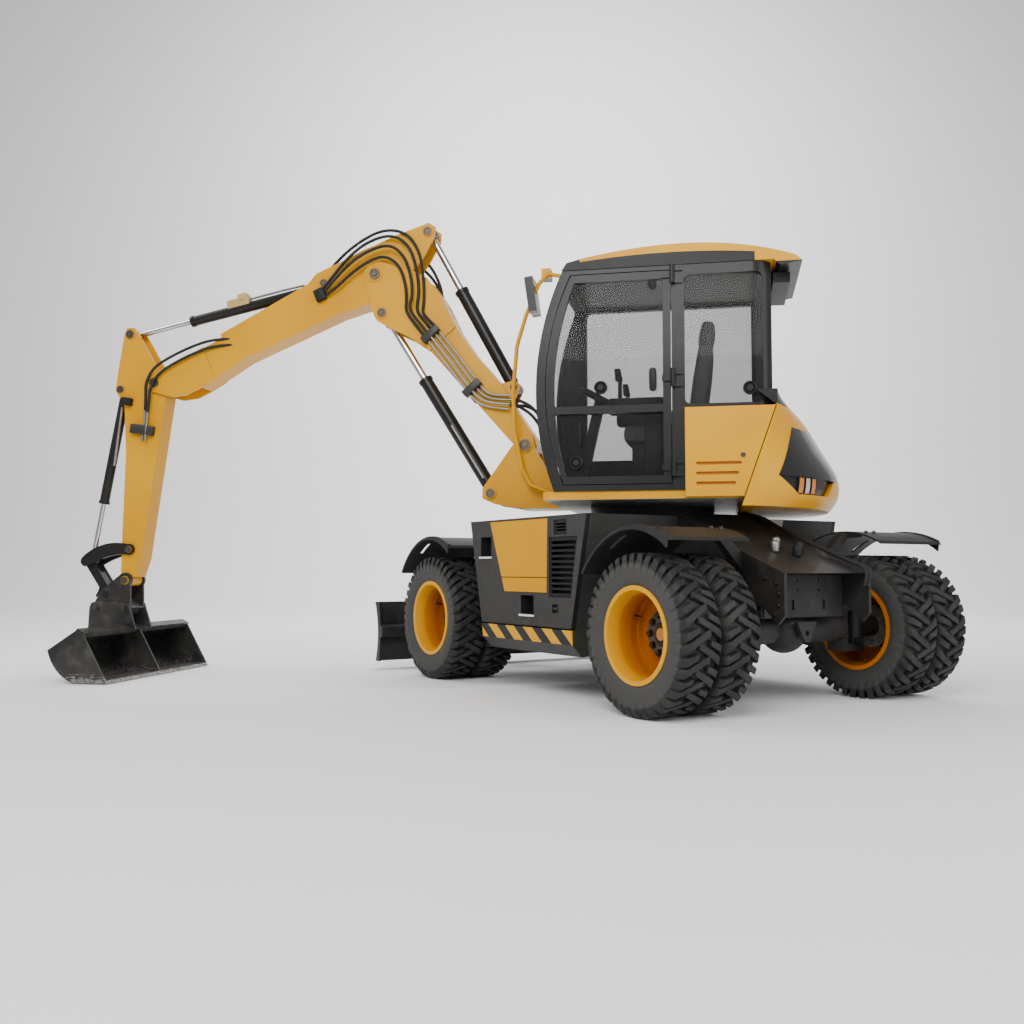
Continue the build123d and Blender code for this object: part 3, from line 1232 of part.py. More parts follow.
def make_lower_boom():
    end = LOWER_BOOM_LENGTH
    box = (
        (-40, -70), (310, -72), (end - 735, -76), (end - 575, -112), (end - 433, -20), (end - 395, 130),
        (end - 455, 274), (end - 563, 262), (end - 787, 203), (end - 1037, 172), (500, 172), (300, 130),
        (-10, 92),
    )
    # Room for the lift cylinder's barrel and rod, which rise between the cheeks at the ends of its travel
    well = ((end - 775, -150), (end - 765, LIFT_WELL_Z), (end - 400, LIFT_WELL_Z), (end - 400, -150))
    head = (
        (end - 785, -75), (end - 575, -132), (end - 410, -200), (end - 295, -238), (end - 195, -212),
        (end - 125, -165), (end + 55, -80), (end + 100, 10), (end + 75, 80), (end - 5, 130), (end - 185, 240),
        (end - 325, 290), (end - 420, 284), (end - 563, 266), (end - 785, 204),
    )
    with BuildPart() as boom:
        prism(side(LOWER_HALF), box, 2 * LOWER_HALF)
        prism(side(LIFT_WELL_HALF), well, 2 * LIFT_WELL_HALF, Mode.SUBTRACT)
        through((0, 0), 84, NOSE_HALF - NOSE_PLATE - CLEAR)
        through((0, 0), PIN_RADIUS, NOSE_HALF + 2)
        inner = UPPER_BOOM_HALF + CLEAR
        outer = inner + SIDE_PLATE
        for y, depth in both_sides(inner, outer):
            prism(side(y), head, depth)
            pin_strap(side(y), (((LOWER_BOOM_LENGTH, 0), 96), (LIFT_EYE, 70)), depth)
        bosses(LIFT_EYE, 48, EYE_HALF + CLEAR, outer + 10)
        bosses((LOWER_BOOM_LENGTH, 0), 62, inner, outer + 10)
        through((LOWER_BOOM_LENGTH, 0), PIN_RADIUS + PIN_FIT, outer + 11, Mode.SUBTRACT)
        for y, depth in both_sides(BARREL_LUG_Y, BARREL_LUG_Y + SIDE_PLATE):
            pin_strap(side(y), ((FOLD_BASE, 50), ((360, 110), 40), ((500, 120), 40)), depth)
        through(FOLD_BASE, SMALL_PIN + PIN_FIT, BARREL_LUG_Y + SIDE_PLATE + 1, Mode.SUBTRACT)
    save(boom, "lower_boom", link_place(FOOT, LOWER_BOOM_TILT))


def make_upper_boom():
    length = UPPER_BOOM_LENGTH
    box = (
        (-110, -60), (60, -205), (420, -160), (length - 812, -150), (length - 612, -178),
        (length - 412, -208), (length - 370, -210), (length - 232, -68), (length - 232, 94),
        (length - 712, 94), (300, 86), (120, 150), (-110, 110),
    )
    wall = (
        (-596, 150), (-560, 76), (-389, -53), (-160, -150), (60, -205), (420, -160), (length - 812, -150),
        (length - 692, -165), (length - 692, 134), (560, 190), (460, 238), (300, 236), (-280, 232),
        (-470, 212), (-560, 205),
    )
    fork = (
        (length - 512, -196), (length - 362, -212), (length - 232, -216), (length - 102, -178),
        (length - 2, -100), (length + 38, -60), (length + 38, 60), (length - 212, 82), (length - 512, 96),
    )
    with BuildPart() as boom:
        prism(side(UPPER_BOOM_HALF), box, 2 * UPPER_BOOM_HALF)
        for y, depth in both_sides(UPPER_BOOM_HALF - SIDE_PLATE, UPPER_BOOM_HALF):
            prism(side(y), wall, depth)
        inner = DIPPER_HALF + CLEAR
        outer = inner + SIDE_PLATE
        for y, depth in both_sides(inner, outer):
            prism(side(y), fork, depth)
            pin_strap(side(y), (((length, 0), 78), ((length - 120, -20), 110)), depth)
        through((0, 0), 96, UPPER_BOOM_HALF)
        through((0, 0), PIN_RADIUS, UPPER_BOOM_HALF + CLEAR + SIDE_PLATE + 12)
        bosses(FOLD_EYE, 46, EYE_HALF + CLEAR, UPPER_BOOM_HALF + 8)
        bosses(CROWD_BASE, 42, EYE_HALF + CLEAR, UPPER_BOOM_HALF + 8)
        bosses((length, 0), 56, inner, outer + 8)
        through(CROWD_BASE, EYE_HALF + 28, EYE_HALF + CLEAR, Mode.SUBTRACT)
        through(CROWD_BASE, SMALL_PIN + PIN_FIT, UPPER_BOOM_HALF + 9, Mode.SUBTRACT)
        through((length, 0), PIN_RADIUS + PIN_FIT, outer + 9, Mode.SUBTRACT)
    save(boom, "upper_boom", link_place(KNEE, UPPER_BOOM_TILT))


def make_dipper():
    length = DIPPER_LENGTH
    box = (
        (-60, -70), (60, -108), (length - 197, -104), (length - 37, -74), (length - 37, 60),
        (length - 171, 78), (length - 319, 97), (593, 187), (228, 226), (60, 226), (-60, 120),
    )
    cheek = (
        (-120, 0), (-60, -96), (60, -108), (640, -106), (640, 180), (228, 262), (100, 368), (20, 372),
        (-380, 366), (-440, 350), (-452, 290), (-400, 230),
    )
    with BuildPart() as dipper:
        prism(side(DIPPER_HALF), box, 2 * DIPPER_HALF)
        for y, depth in both_sides(DIPPER_HALF - SIDE_PLATE, DIPPER_HALF):
            prism(side(y), cheek, depth)
        through((0, 0), 92, DIPPER_HALF)
        through((length, 0), WRIST_BOSS, DIPPER_HALF + 1)
        through(LEVER_PIN, 50, DIPPER_HALF + 1)
        through((0, 0), PIN_RADIUS, DIPPER_HALF + CLEAR + SIDE_PLATE + 10)
        through((length, 0), PIN_RADIUS, DIPPER_HALF + CLEAR + SIDE_PLATE + 6)
        through(LEVER_PIN, SMALL_PIN, DIPPER_HALF + CLEAR + SIDE_PLATE + 6)
        for point, radius in ((CROWD_EYE, 44), (TOOL_CYL_BASE, 42)):
            bosses(point, radius, EYE_HALF + CLEAR, DIPPER_HALF + 8)
        through(TOOL_CYL_BASE, SMALL_PIN + PIN_FIT, DIPPER_HALF + 9, Mode.SUBTRACT)
    save(dipper, "dipper", link_place(ELBOW, DIPPER_TILT))


def make_lever():
    """Two curved plates, drawn from the dipper's pin to the link's pin."""
    inner = DIPPER_HALF + CLEAR
    with BuildPart() as lever:
        for y, depth in both_sides(inner, inner + SIDE_PLATE):
            with BuildSketch(side(y)):
                with BuildLine():
                    ThreePointArc((0, 44), (LEVER_LENGTH * 0.52, 96), (LEVER_LENGTH + 20, 40))
                    Line((LEVER_LENGTH + 20, 40), (LEVER_LENGTH + 34, -30))
                    Line((LEVER_LENGTH + 34, -30), (LEVER_LENGTH - 40, -40))
                    ThreePointArc((LEVER_LENGTH - 40, -40), (LEVER_LENGTH * 0.45, -14), (0, -44))
                    Line((0, -44), (0, 44))
                make_face()
                Circle(46)
                with Locations((LEVER_LENGTH, 0)):
                    Circle(44)
                Circle(SMALL_PIN + PIN_FIT, mode=Mode.SUBTRACT)
            extrude(amount=depth)
        bosses((LEVER_LENGTH, 0), 40, inner - 16, inner)
    save(lever, "lever", link_place(LEVER_FOOT, LEVER_TILT))


def make_link():
    """Drawn from the hitch's pin to the lever's pin, open at the lever."""
    length, tilt = span(LINK_FOOT, LEVER_TIP)
    cheek_in = EYE_HALF + CLEAR
    cheek_out = cheek_in + 18
    with BuildPart() as link:
        for y, depth in both_sides(cheek_in, cheek_out):
            pin_strap(side(y), (((0, 0), 36), ((length, 0), 38)), depth)
        prism(side(cheek_in + 1), ((0, -30), (length - 130, -30), (length - 130, 30), (0, 30)),
              2 * cheek_in + 2)
        through((0, 0), 38, DIPPER_HALF)
        through((0, 0), SMALL_PIN, DIPPER_HALF + CLEAR + SIDE_PLATE + 6)
        prism(side(9), ((60, -30), (150, -30), (96, -92), (74, -138), (62, -134), (74, -88)), 18)
    save(link, "link", link_place(LINK_FOOT, tilt))


def make_hitch():
    inner = DIPPER_HALF + CLEAR
    with BuildPart() as hitch:
        for y, depth in both_sides(inner, inner + SIDE_PLATE):
            pin_strap(side(y), (((0, 0), 64), (LINK_PIN, 52)), depth)
            pin_strap(side(y), (((0, 0), 50), (BUCKET_PINS[0], 46), (BUCKET_PINS[1], 46), (LINK_PIN, 50)),
                      depth)
        prism(side(inner + 1), ((10, -150), (86, -182), (262, -188), (302, -240), (262, -282),
                                (-20, -282), (-60, -230)), 2 * inner + 2)
        through((0, 0), PIN_RADIUS + PIN_FIT, inner + SIDE_PLATE + 1, Mode.SUBTRACT)
        through(LINK_PIN, SMALL_PIN + PIN_FIT, inner + SIDE_PLATE + 1, Mode.SUBTRACT)
        for pin in BUCKET_PINS:
            through(pin, BUCKET_PIN + PIN_FIT, inner + SIDE_PLATE + 1, Mode.SUBTRACT)
    save(hitch, "quick_hitch", link_place(WRIST, 0))


def bucket_outline(inset=0.0):
    """Side profile of the bucket from the top front edge round the back to the lip."""
    low = BUCKET_LOW_Z - WRIST[1] + inset
    top = (-28, -376 - inset)
    back = (218 - inset, -533 - inset / 3)
    turn = (160 - inset * 0.7, -660 + inset * 0.7)
    heel = (0, low)
    return top, back, turn, heel


def make_bucket():
    low = BUCKET_LOW_Z - WRIST[1]
    lip = (BUCKET_LIP_X, low)
    front = (-82, -404)
    top, back, turn, heel = bucket_outline()
    top_in, back_in, turn_in, heel_in = bucket_outline(BUCKET_SHEET)
    with BuildPart() as bucket:
        with BuildSketch(side(BUCKET_HALF)):
            with BuildLine():
                Polyline(front, top, back)
                ThreePointArc(back, turn, heel)
                Polyline(heel, lip, (lip[0] + 10, low + BUCKET_SHEET), heel_in)
                ThreePointArc(heel_in, turn_in, back_in)
                Polyline(back_in, top_in, (front[0] + 12, front[1] - BUCKET_SHEET), front)
            make_face()
        extrude(amount=2 * BUCKET_HALF)
        for y in (BUCKET_HALF, BUCKET_SHEET / 2, -BUCKET_HALF + BUCKET_SHEET):
            with BuildSketch(side(y)):
                with BuildLine():
                    Polyline(front, top, back)
                    ThreePointArc(back, turn, heel)
                    Polyline(heel, lip, front)
                make_face()
            extrude(amount=BUCKET_SHEET)
        # Beam along the top front edge, and the cutting edge under the lip
        prism(side(BUCKET_HALF), ((-96, -396), (-30, -364), (-22, -392), (-70, -436)), 2 * BUCKET_HALF)
        prism(side(BUCKET_HALF), ((lip[0], low), (lip[0] + 150, low), (lip[0] + 150, low + 26),
                                  (lip[0] + 14, low + 26)), 2 * BUCKET_HALF)
        inner = DIPPER_HALF + CLEAR + SIDE_PLATE + 2
        ears = ((-62, -236), (-52, -200), (-18, -180), (250, -176), (292, -190), (308, -230), (318, -420),
                (206, -530), (-30, -380), (-120, -404))
        for y, depth in both_sides(inner, inner + SIDE_PLATE):
            prism(side(y), ears, depth)
        for pin in BUCKET_PINS:
            through(pin, BUCKET_PIN, inner + SIDE_PLATE + 12)
    save(bucket, "bucket", link_place(WRIST, 0))


def make_cylinders():
    lugs = BARREL_LUG_Y + SIDE_PLATE + 2
    for row in (
        # label, base, tip, barrel, place, radii of barrel, rod, base eye and tip eye, reach of the base's pin
        ("lift", LIFT_BASE, LIFT_TIP, LIFT_BARREL, UPPER, 54, 30, 56, 62, NOSE_HALF + 2),
        ("fold", FOLD_FOOT, FOLD_TIP, FOLD_BARREL, UPPER, 52, 28, 50, 56, lugs),
        ("crowd", CROWD_FOOT, CROWD_TIP, CROWD_BARREL, UPPER, 42, 24, 42, 50, UPPER_BOOM_HALF + 9),
        ("tool", TOOL_CYL_FOOT, LEVER_TIP, TOOL_BARREL, UPPER, 40, 22, 42, 42, DIPPER_HALF + 9),
        ("blade", BLADE_CYL_BASE, BLADE_CYL_EYE, BLADE_BARREL, GROUND, 40, 24, 40, 40, lugs),
    ):
        make_cylinder(*row)


make_wheels()
make_knuckles()
make_axles()
make_chassis()
make_slew_ring()
make_pods()
make_pod_doors()
place_fenders()
make_blade()
make_upper_frame()
make_cab()
make_roof()
make_cab_glass()
make_door()
make_cowl()
make_right_body()
make_quarter_panel()
make_seat()
make_controls()
make_mirrors()
make_tail_lamps()
make_lamp_bar()
make_lower_boom()
make_upper_boom()
make_dipper()
make_lever()
make_link()
make_hitch()
make_bucket()
make_cylinders()
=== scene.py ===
"""Looks for a wheeled excavator: finishes, tyres, pins, hoses, cab fittings and the stage."""

import json
from math import cos, pi, radians, sin

import bpy
from mathutils import Matrix, Vector


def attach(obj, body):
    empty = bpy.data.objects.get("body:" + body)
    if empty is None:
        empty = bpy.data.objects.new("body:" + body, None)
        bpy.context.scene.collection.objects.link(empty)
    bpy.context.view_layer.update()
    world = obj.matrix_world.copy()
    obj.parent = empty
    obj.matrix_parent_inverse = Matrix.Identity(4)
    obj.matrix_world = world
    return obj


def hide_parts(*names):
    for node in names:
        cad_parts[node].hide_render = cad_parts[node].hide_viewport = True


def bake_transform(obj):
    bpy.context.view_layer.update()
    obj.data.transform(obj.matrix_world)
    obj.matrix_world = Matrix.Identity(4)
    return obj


bl_info = {
    "name": "Wheeled excavator looks",
    "version": (1, 0, 0),
    "blender": (4, 5, 0),
    "location": "View3D > Sidebar > Excavator",
    "description": "Finishes and fittings for a jointed wheeled excavator",
    "category": "Object",
}

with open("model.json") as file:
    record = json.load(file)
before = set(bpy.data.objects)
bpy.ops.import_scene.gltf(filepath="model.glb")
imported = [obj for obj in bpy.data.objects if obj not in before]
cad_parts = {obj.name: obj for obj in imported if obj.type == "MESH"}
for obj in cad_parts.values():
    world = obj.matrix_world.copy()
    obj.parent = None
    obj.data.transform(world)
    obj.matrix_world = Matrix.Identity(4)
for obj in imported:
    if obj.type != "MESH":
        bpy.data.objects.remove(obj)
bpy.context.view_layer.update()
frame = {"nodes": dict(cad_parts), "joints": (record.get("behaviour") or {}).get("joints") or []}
JOINTS = {joint["name"]: joint for joint in frame["joints"]}

# Middle of a wheel, forward or back of the origin and above the ground
WHEEL_FORWARD, WHEEL_UP = 1.325, 0.49

# Outer faces of the chassis' end plates, and top of the pods' deck
CHASSIS_HALF, DECK_TOP = 0.3902, 1.2702

# Where the photograph was taken from, the directions it looks in, in degrees, and its lens
CAMERA_AT = (-6.1739, 5.0598, 0.8818)
CAMERA_TURN, CAMERA_RISE = 31.584, 3.171
CAMERA_LENS = 36.296

# Where each body of the upper part and the arm has its own axes: the joint at its origin, and the
# tilt of its length above the level, in degrees, in the pose that the model is built in
SLEW = 47.0
LINKS = {
    "upper": (None, 0.0),
    "lower_boom": ("boom_lift", 48.9),
    "upper_boom": ("boom_fold", -22.6),
    "dipper": ("dipper_swing", -81.8),
    "tool": ("bucket_curl", 0.0),
}


# Sizes and colours that a user would change


def length(name, description, default):
    return bpy.props.FloatProperty(name=name, description=description, default=default, min=0.0,
                                   unit="LENGTH", precision=4)


def colour(name, description, default):
    return bpy.props.FloatVectorProperty(name=name, description=description, default=default, size=3, min=0.0,
                                         max=1.0, subtype="COLOR")


class ExcavatorColours(bpy.types.PropertyGroup):
    """Colours of the finishes."""

    yellow: colour("Yellow", "Paint of the body and the arm", (0.70, 0.335, 0.0))
    shade: colour("Yellow shade", "Deeper tint that the yellow paint drifts to", (0.64, 0.285, 0.0))
    # Painted shade: the orange below is mixed into the paint where shade falls inside the louvres and the
    # rims' dishes
    orange: colour("Orange", "Deep tint of the yellow paint inside louvres and rims", (0.42, 0.12, 0.0))
    grey: colour("Grey", "Paint of the side pods", (0.040, 0.039, 0.037))
    fender: colour("Fender grey", "Paint of the fenders", (0.022, 0.0215, 0.021))
    chassis: colour("Chassis", "Paint of the chassis, axles and blade", (0.016, 0.0155, 0.015))
    black: colour("Black", "Paint of the cab frame and barrels", (0.011, 0.0105, 0.010))
    rubber: colour("Rubber", "Tyres and hoses", (0.020, 0.0195, 0.019))
    dust: colour("Dust", "Dry dust in corners and on rubber", (0.24, 0.23, 0.21))
    glass: colour("Glass", "Tint of the windows", (0.022, 0.024, 0.022))
    fabric: colour("Fabric", "Cover of the driver's seat", (0.10, 0.10, 0.105))
    amber: colour("Amber", "Direction lights", (0.60, 0.17, 0.01))


class ExcavatorTyres(bpy.types.PropertyGroup):
    """Sizes of the twin tyres."""

    radius: length("Radius", "From the axle to the top of the lugs", 0.490)
    tread: length("Tread radius", "From the axle to the rubber between the lugs", 0.455)
    bead: length("Bead radius", "From the axle to the edge that sits on the rim", 0.287)
    half: length("Half width", "From a tyre's middle to its sidewall", 0.1375)
    spread: length("Spread", "From the wheel's middle to each tyre's middle", 0.1525)
    lugs: bpy.props.IntProperty(name="Lugs", description="Long lugs on each side of a tyre", default=20,
                                min=6)
    lug_width: length("Lug width", "Width of a long lug along the tread", 0.056)


class ExcavatorHoses(bpy.types.PropertyGroup):
    """Sizes of the hydraulic lines."""

    hose: length("Hose radius", "Radius of a rubber hose", 0.0125)
    pipe: length("Pipe radius", "Radius of a steel pipe", 0.010)


class ExcavatorFittings(bpy.types.PropertyGroup):
    """Sizes of the small fittings."""

    pin_ring: length("Pin ring", "Radius of the ring round a pin's end", 0.045)
    nut: length("Wheel nut", "Radius of a wheel nut over its corners", 0.017)
    nuts: bpy.props.IntProperty(name="Wheel nuts", description="Nuts on each hub", default=10, min=4)
    bolt: length("Bolt", "Radius of a bolt head over its corners", 0.012)
    stripe: length("Stripe", "Length along the rail of one yellow and one black stripe", 0.240)


def settings(group):
    """The property group that holds this scene's values."""
    return getattr(bpy.context.scene, f"excavator_{group}")


# Shader maths


class Level:
    """A number that changes over a surface. Arithmetic on it adds Math nodes to its finish."""

    def __init__(self, finish, socket):
        self.finish = finish
        self.socket = socket

    def maths(self, operation, *values, clamp=False):
        node = self.finish.node("ShaderNodeMath", {"operation": operation, "use_clamp": clamp},
                                dict(enumerate(values)))
        return Level(self.finish, node.outputs[0])

    def __add__(self, other):
        return self.maths("ADD", self, other)

    __radd__ = __add__

    def __sub__(self, other):
        return self.maths("SUBTRACT", self, other)

    def __rsub__(self, other):
        return self.maths("SUBTRACT", other, self)

    def __mul__(self, other):
        return self.maths("MULTIPLY", self, other)

    __rmul__ = __mul__

    def __truediv__(self, other):
        return self.maths("DIVIDE", self, other)

    def __gt__(self, other):
        return self.maths("GREATER_THAN", self, other)

    def __lt__(self, other):
        return self.maths("LESS_THAN", self, other)

    def __abs__(self):
        return self.maths("ABSOLUTE", self)

    def root(self):
        return self.maths("SQRT", self)

    def fraction(self):
        return self.maths("FRACT", self)

    def largest(self, other):
        return self.maths("MAXIMUM", self, other)

    def between(self, low, high):
        """One between two limits and nothing outside them."""
        return (self > low) * (self < high)

    def rise(self, low, high):
        """A smooth step from nothing at low to one at high."""
        node = self.finish.node("ShaderNodeMapRange", {"interpolation_type": "SMOOTHSTEP"},
                                {"Value": self, "From Min": low, "From Max": high})
        return Level(self.finish, node.outputs[0])


class Finish:
    """A material while it is made: its nodes, and the shader that they end in."""

    def __init__(self, name, rough=0.5, metal=0.0, coat=0.0, coat_rough=0.1, shine=0.5):
        self.material = bpy.data.materials.new(f"{name}_look")
        self.material.use_nodes = True
        self.tree = self.material.node_tree
        self.shader = next(node for node in self.tree.nodes if node.type == "BSDF_PRINCIPLED")
        self.place = self.node("ShaderNodeTexCoord").outputs["Object"]
        self.shader.inputs["Roughness"].default_value = rough
        self.shader.inputs["Metallic"].default_value = metal
        self.shader.inputs["Coat Weight"].default_value = coat
        self.shader.inputs["Coat Roughness"].default_value = coat_rough
        self.shader.inputs["Specular IOR Level"].default_value = shine

    def node(self, kind, choices=None, values=None):
        """Add a node: its settings first, then the values or links of its sockets."""
        node = self.tree.nodes.new(kind)
        for name, choice in (choices or {}).items():
            setattr(node, name, choice)
        for key, value in (values or {}).items():
            self.feed(node.inputs[key], value)
        return node

    def feed(self, socket, value):
        value = value.socket if isinstance(value, Level) else value
        if isinstance(value, bpy.types.NodeSocket):
            self.tree.links.new(value, socket)
        elif socket.type == "RGBA":
            socket.default_value = (*value, 1.0)
        else:
            socket.default_value = value

    def axes(self, origin=(0.0, 0.0, 0.0), turn=(0.0, 0.0, 0.0)):
        """The three coordinates of a point in axes with that origin and turn."""
        moved = self.node("ShaderNodeMapping", {"vector_type": "TEXTURE"},
                          {"Vector": self.place, "Location": origin, "Rotation": turn})
        split = self.node("ShaderNodeSeparateXYZ", None, {"Vector": moved.outputs[0]})
        return [Level(self, socket) for socket in split.outputs]

    def link_axes(self, body):
        """Forward, left and up in the axes of the upper part or a link of the arm."""
        joint, tilt = LINKS[body]
        origin = JOINTS[joint]["pos_m"] if joint else (0.0, 0.0, 0.0)
        return self.axes(origin, (0.0, radians(-tilt), radians(SLEW)))

    def from_axle(self):
        """How far to the left a point lies, and how far from the middle line of the axle."""
        forward, left, up = self.axes()
        lean = abs(forward) - WHEEL_FORWARD
        rise = up - WHEEL_UP
        return left, (lean * lean + rise * rise).root()

    def noise(self, scale, detail=2.0, stretch=(1.0, 1.0, 1.0)):
        moved = self.node("ShaderNodeMapping", None, {"Vector": self.place, "Scale": stretch})
        node = self.node("ShaderNodeTexNoise", None, {"Vector": moved.outputs[0], "Scale": scale,
                                                      "Detail": detail})
        return Level(self, node.outputs["Fac"])

    def mix(self, share, first, second):
        """A colour between two others."""
        node = self.node("ShaderNodeMix", {"data_type": "RGBA"}, {0: share, 6: first, 7: second})
        return node.outputs[2]

    def tint(self, value):
        self.feed(self.shader.inputs["Base Color"], value)
        return self

    def rough(self, value):
        self.feed(self.shader.inputs["Roughness"], value)
        return self

    def metal(self, value):
        self.feed(self.shader.inputs["Metallic"], value)
        return self

    def relief(self, height, depth, strength=1.0):
        bump = self.node("ShaderNodeBump", None, {"Height": height, "Distance": depth, "Strength": strength})
        self.tree.links.new(bump.outputs[0], self.shader.inputs["Normal"])
        return self


# Finishes, each a function that makes one material


# Share of the usual mirror reflection that paint and rubber keep, so that a white studio doesn't pale them
PAINT_SHINE = 0.22


def dimmed(tone, share):
    """A colour times a share."""
    return tuple(share * c for c in tone)


def painted(name, base, shade, rough, coat, dust=0.0):
    """Sprayed paint: a slow drift of tint, a fine orange peel, and dust where asked for."""
    paint = Finish(name, rough, 0.0, coat, 0.12, PAINT_SHINE)
    drift = paint.noise(1.3, 2.0).rise(0.35, 0.68)
    cloud = paint.noise(11.0, 4.0)
    tone = paint.mix(drift, base, shade)
    if dust:
        tone = paint.mix(cloud.rise(0.45, 0.80) * dust, tone, settings("colours").dust)
    paint.rough(rough + cloud * 0.10)
    paint.relief(paint.noise(380.0, 1.0), 0.0004, 0.25)
    return paint, tone


def yellow_paint():
    tints = settings("colours")
    paint, tone = painted("yellow_paint", tints.yellow, tints.shade, 0.30, 0.06)
    return paint.tint(tone)


def frame_paint():
    """Yellow of the turning frame, with a bare grey underside."""
    tints = settings("colours")
    paint, tone = painted("frame_paint", tints.yellow, tints.shade, 0.30, 0.06)
    under = paint.axes()[2] < 1.3458
    return paint.tint(paint.mix(under, tone, (0.42, 0.42, 0.42)))


def quarter_paint():
    """Yellow of the side panel, with painted shade in deep orange inside its louvres, and a dark lock."""
    tints = settings("colours")
    paint, tone = painted("quarter_paint", tints.yellow, tints.shade, 0.28, 0.08)
    forward, left, up = paint.link_axes("upper")
    # painted shade: the louvres' hollows behind the panel's face take the deep orange, where shade falls in
    # them
    inside = (left < 1.1685) * forward.between(-0.80, -0.33) * up.between(1.40, 1.62)
    lock = ((forward + 0.66) * (forward + 0.66) + (up - 1.62) * (up - 1.62)).root() < 0.0165
    tone = paint.mix(inside, tone, tints.orange)
    return paint.tint(paint.mix(lock, tone, (0.05, 0.05, 0.05)))


def roof_paint():
    """Yellow cap over a black band along the cab's head, with a black nose and rear underside."""
    tints = settings("colours")
    paint, tone = painted("roof_paint", tints.yellow, tints.shade, 0.34, 0.0)
    forward, _, up = paint.link_axes("upper")
    sag = forward + 0.20
    band = (up < 2.980 - sag * sag * 0.09) * (forward > -0.75)
    ends = (forward > 0.40).largest((up < 2.880) * (forward < -0.86))
    return paint.tint(paint.mix(band.largest(ends), tone, tints.black))


def cowl_paint():
    """Yellow of the rear body, with a black seal at its corner under the cab."""
    tints = settings("colours")
    paint, tone = painted("cowl_paint", tints.yellow, tints.shade, 0.28, 0.08)
    forward, left, up = paint.link_axes("upper")
    seal = (up > 1.948) * (left > 0.85) * (forward > -0.95)
    return paint.tint(paint.mix(seal, tone, tints.black))


def grey_paint():
    tints = settings("colours")
    paint, tone = painted("grey_paint", tints.grey, dimmed(tints.grey, 0.82), 0.42, 0.1, 0.06)
    return paint.tint(tone)


def fender_paint():
    tints = settings("colours")
    paint, tone = painted("fender_paint", tints.fender, dimmed(tints.fender, 0.80), 0.46, 0.0, 0.04)
    return paint.tint(tone)


def chassis_paint():
    tints = settings("colours")
    paint, tone = painted("chassis_paint", tints.chassis, dimmed(tints.chassis, 1.5), 0.42, 0.1, 0.05)
    return paint.tint(tone)


def black_paint():
    tints = settings("colours")
    paint, tone = painted("black_paint", tints.black, dimmed(tints.black, 1.5), 0.30, 0.08)
    return paint.tint(tone)


def door_paint():
    """Grey of the pod doors, with black step recesses and white step lips."""
    tints = settings("colours")
    paint, tone = painted("door_paint", tints.grey, dimmed(tints.grey, 0.85), 0.44, 0.1, 0.05)
    left = paint.axes()[1]
    tone = paint.mix(abs(left) < 1.1655, tone, (0.014, 0.014, 0.014))
    return paint.tint(paint.mix(abs(left) > 1.1715, tone, (0.75, 0.74, 0.72)))


def pod_paint():
    """Grey of the pods, with the hazard stripes along the rail and a painted sheen, pale grey, where a shiny
    plate shows behind the right pod.
    """
    tints = settings("colours")
    paint, tone = painted("pod_paint", tints.grey, dimmed(tints.grey, 0.85), 0.44, 0.1, 0.05)
    forward, left, up = paint.axes()
    # painted sheen: a box behind the right pod is painted pale grey in place of the light that the shiny
    # plate there reflects
    plate = left.between(-0.61, -0.46) * up.between(1.16, 1.28) * (forward < -0.70)
    tone = paint.mix(plate, tone, (0.42, 0.41, 0.40))
    pitch = settings("fittings").stripe
    across = (forward - (up - 0.43) * 1.1 - 0.376) / pitch + 10.25
    stripes = across.fraction() < 0.5
    face = (abs(left) > 1.1565) * up.between(0.381, 0.479)
    scuff = paint.noise(26.0, 4.0).rise(0.60, 0.74) * 0.35
    tape = paint.mix(stripes, (0.012, 0.012, 0.012), tints.yellow)
    return paint.tint(paint.mix(face, tone, paint.mix(scuff, tape, tints.chassis)))


def rim_paint():
    """Yellow rims with painted shade that turns them orange deeper into the dish, with a cast hub in the
    middle and its bronze cap.
    """
    tints = settings("colours")
    paint, tone = painted("rim_paint", tints.yellow, tints.shade, 0.30, 0.08, 0.02)
    left, away = paint.from_axle()
    # painted shade: the further into the dish from the outer lip, the more the yellow turns to orange
    tone = paint.mix((1.235 - abs(left)).rise(0.0, 0.16), tone, tints.orange)
    cast = paint.mix(paint.noise(40.0, 4.0).rise(0.4, 0.7), (0.075, 0.064, 0.050), (0.13, 0.11, 0.085))
    tone = paint.mix(away < 0.1505, tone, cast)
    return paint.tint(paint.mix(away < 0.0395, tone, (0.50, 0.22, 0.05)))


def rubber(name, dusty):
    """Moulded rubber, lighter where dust lies."""
    tints = settings("colours")
    skin = Finish(name, 0.62, shine=PAINT_SHINE)
    cloud = skin.noise(7.0, 5.0)
    fine = skin.noise(90.0, 3.0)
    tone = skin.mix(cloud.rise(0.35, 0.75) * dusty, tints.rubber, dimmed(tints.dust, 0.42))
    skin.rough(0.50 + fine * 0.22)
    skin.relief(fine + skin.noise(420.0, 2.0) * 0.4, 0.0012, 0.5)
    return skin, tone


def tyre_rubber():
    """Dark tread, and a sidewall with painted light that makes it a lighter grey than the tread, with fine
    rings round it.
    """
    skin, tone = rubber("tyre_rubber", 0.20)
    away = skin.from_axle()[1]
    ring = (away * 90.0).fraction() * 0.3 + 0.6
    # painted light: inside the tread's edge the sidewall is mixed towards a lighter grey, as if lit from the
    # side; the fine rings vary its share
    return skin.tint(skin.mix((0.435 - away).rise(0.0, 0.012) * ring, tone, (0.062, 0.061, 0.059)))


def hose_rubber():
    skin, tone = rubber("hose_rubber", 0.08)
    return skin.tint(tone)


def steel(name, tone, rough):
    metal = Finish(name, rough, 1.0)
    grain = metal.noise(220.0, 3.0)
    metal.rough(rough + grain * 0.16)
    metal.relief(grain, 0.0003, 0.3)
    return metal.tint(metal.mix(metal.noise(30.0, 3.0), tone, dimmed(tone, 0.72)))


